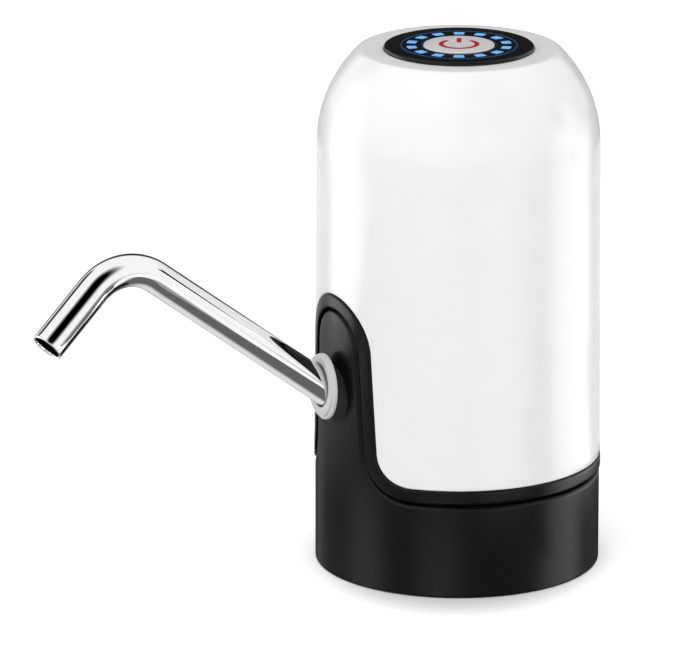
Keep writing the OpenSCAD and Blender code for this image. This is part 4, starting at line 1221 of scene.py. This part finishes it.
def mirror_ring(name, inner, outer, level, lobes):
    """A mirror card from an inner to an outer circle round the object."""
    turn = np.linspace(0, 360, 97)
    corners = np.concatenate([floor_places(outer, turn), floor_places(inner, turn[::-1])])
    mirror_card(name, corners, RING_LIFT, level, lobes)


# The outer rings give the white shell its two upright streaks; the inner one leaves the left streak off
# the panel
inner_lobes = [(97, 0, 30, 5, 3.2), (34, 0, 26, 8, 0.7), (140, 0, 45, 10, 0.5)]
outer_lobes = [(-98, 0, 28, 6, 3.2), (102, 0, 33, 5, 3.2), (38, 0, 24, 8, 0.7), (180, 0, 70, 20, 0.6)]
far_lobes = [(-105, 0, 28, 6, 3.0), (106, 0, 33, 5, 2.8), (55, 0, 40, 15, 0.7)]
mirror_ring("inner_card", 105, 225, 0.35, inner_lobes)
mirror_ring("outer_card", 225, 450, 0.35, outer_lobes)
mirror_ring("far_card", 450, 4000, 0.3, far_lobes)

# A darker card to the right of the base, which gives the spout's short leg its grey side
flag_reach = np.array([FLAG_NEAR, FLAG_FAR, FLAG_FAR, FLAG_NEAR])
mirror_card("spout_flag", floor_places(flag_reach, np.array(FLAG_TURNS)), FLAG_LIFT, FLAG_LEVEL)

world = bpy.data.worlds.new("studio")
world.use_nodes = True
bpy.context.scene.world = world
sky = world.node_tree
backdrop = sky.nodes["Background"]
backdrop.inputs["Color"].default_value = (1, 1, 1, 1)
ray = add_node(sky, "ShaderNodeLightPath")
direction = add_node(sky, "ShaderNodeTexCoord")
height = add_node(sky, "ShaderNodeSeparateXYZ", [("Vector", direction.outputs["Generated"])])
soft = add_node(
    sky, "ShaderNodeMapRange", [(0, height.outputs["Z"]), (1, 0.0), (2, 1.0), (3, SKY_LOW), (4, SKY_TOP)]
)

# What mirrors see of the room: dark below the horizon, pale above it, with bright and dark soft boxes
horizon = add_node(
    sky,
    "ShaderNodeMapRange",
    [(0, height.outputs["Z"]), (1, ROOM_EDGE[0]), (2, ROOM_EDGE[1]), (3, ROOM_DARK), (4, 1.0)],
)
bright = [
    (-78, -16, 21, 5, 1.3),
    (-15, -16, 22, 5, 1.0),
    (93, -17, 27, 6, 1.8),
    (-168, -16, 32, 8, 0.3),
    (-151, -64, 38, 8, 0.65),
    (-108, 8, 24, 5, 2.2),
    (102, 2, 22, 5, 1.8),
]
dark = [
    (25, 46, 36, 15, 0.0),
    (180, 4, 38, 24, 0.04),
    (94, 15.5, 9, 5, 0.0),
    (-133, 35, 15, 9, 0.06),
]
mirrored = direction.outputs["Generated"]
room = shaped(sky, mirrored, shaped(sky, mirrored, horizon.outputs[0], bright), dark, "MULTIPLY")
plain = add_node(
    sky,
    "ShaderNodeMix",
    [(0, ray.outputs["Is Glossy Ray"]), (2, soft.outputs[0]), (3, room)],
    data_type="FLOAT",
)
direct = add_node(
    sky,
    "ShaderNodeMath",
    [(0, ray.outputs["Is Camera Ray"]), (1, ray.outputs["Is Transmission Ray"])],
    operation="MAXIMUM",
)
shown = add_node(
    sky,
    "ShaderNodeMix",
    [(0, direct.outputs[0]), (2, plain.outputs[0]), (3, 1.0)],
    data_type="FLOAT",
)
sky.links.new(shown.outputs[0], backdrop.inputs["Strength"])

camera_data = bpy.data.cameras.new("photo_camera")
camera_data.lens = CAMERA_LENS
camera_data.sensor_width = SENSOR_W
camera_data.sensor_fit = "HORIZONTAL"
camera_data.clip_end = 50.0
camera = bpy.data.objects.new("photo_camera", camera_data)
bpy.context.scene.collection.objects.link(camera)
stand = np.array([0, 0, LOOK_Z]) + VIEW * CAMERA_FAR
target = np.array([0, 0, LOOK_Z]) + RIGHT * FRAME_RIGHT + UP * FRAME_UP
camera.location = Vector(stand * MM)
camera.rotation_euler = Vector(target - stand).to_track_quat("-Z", "Y").to_euler()
bpy.context.scene.camera = camera

bpy.context.scene.view_settings.view_transform = "Standard"
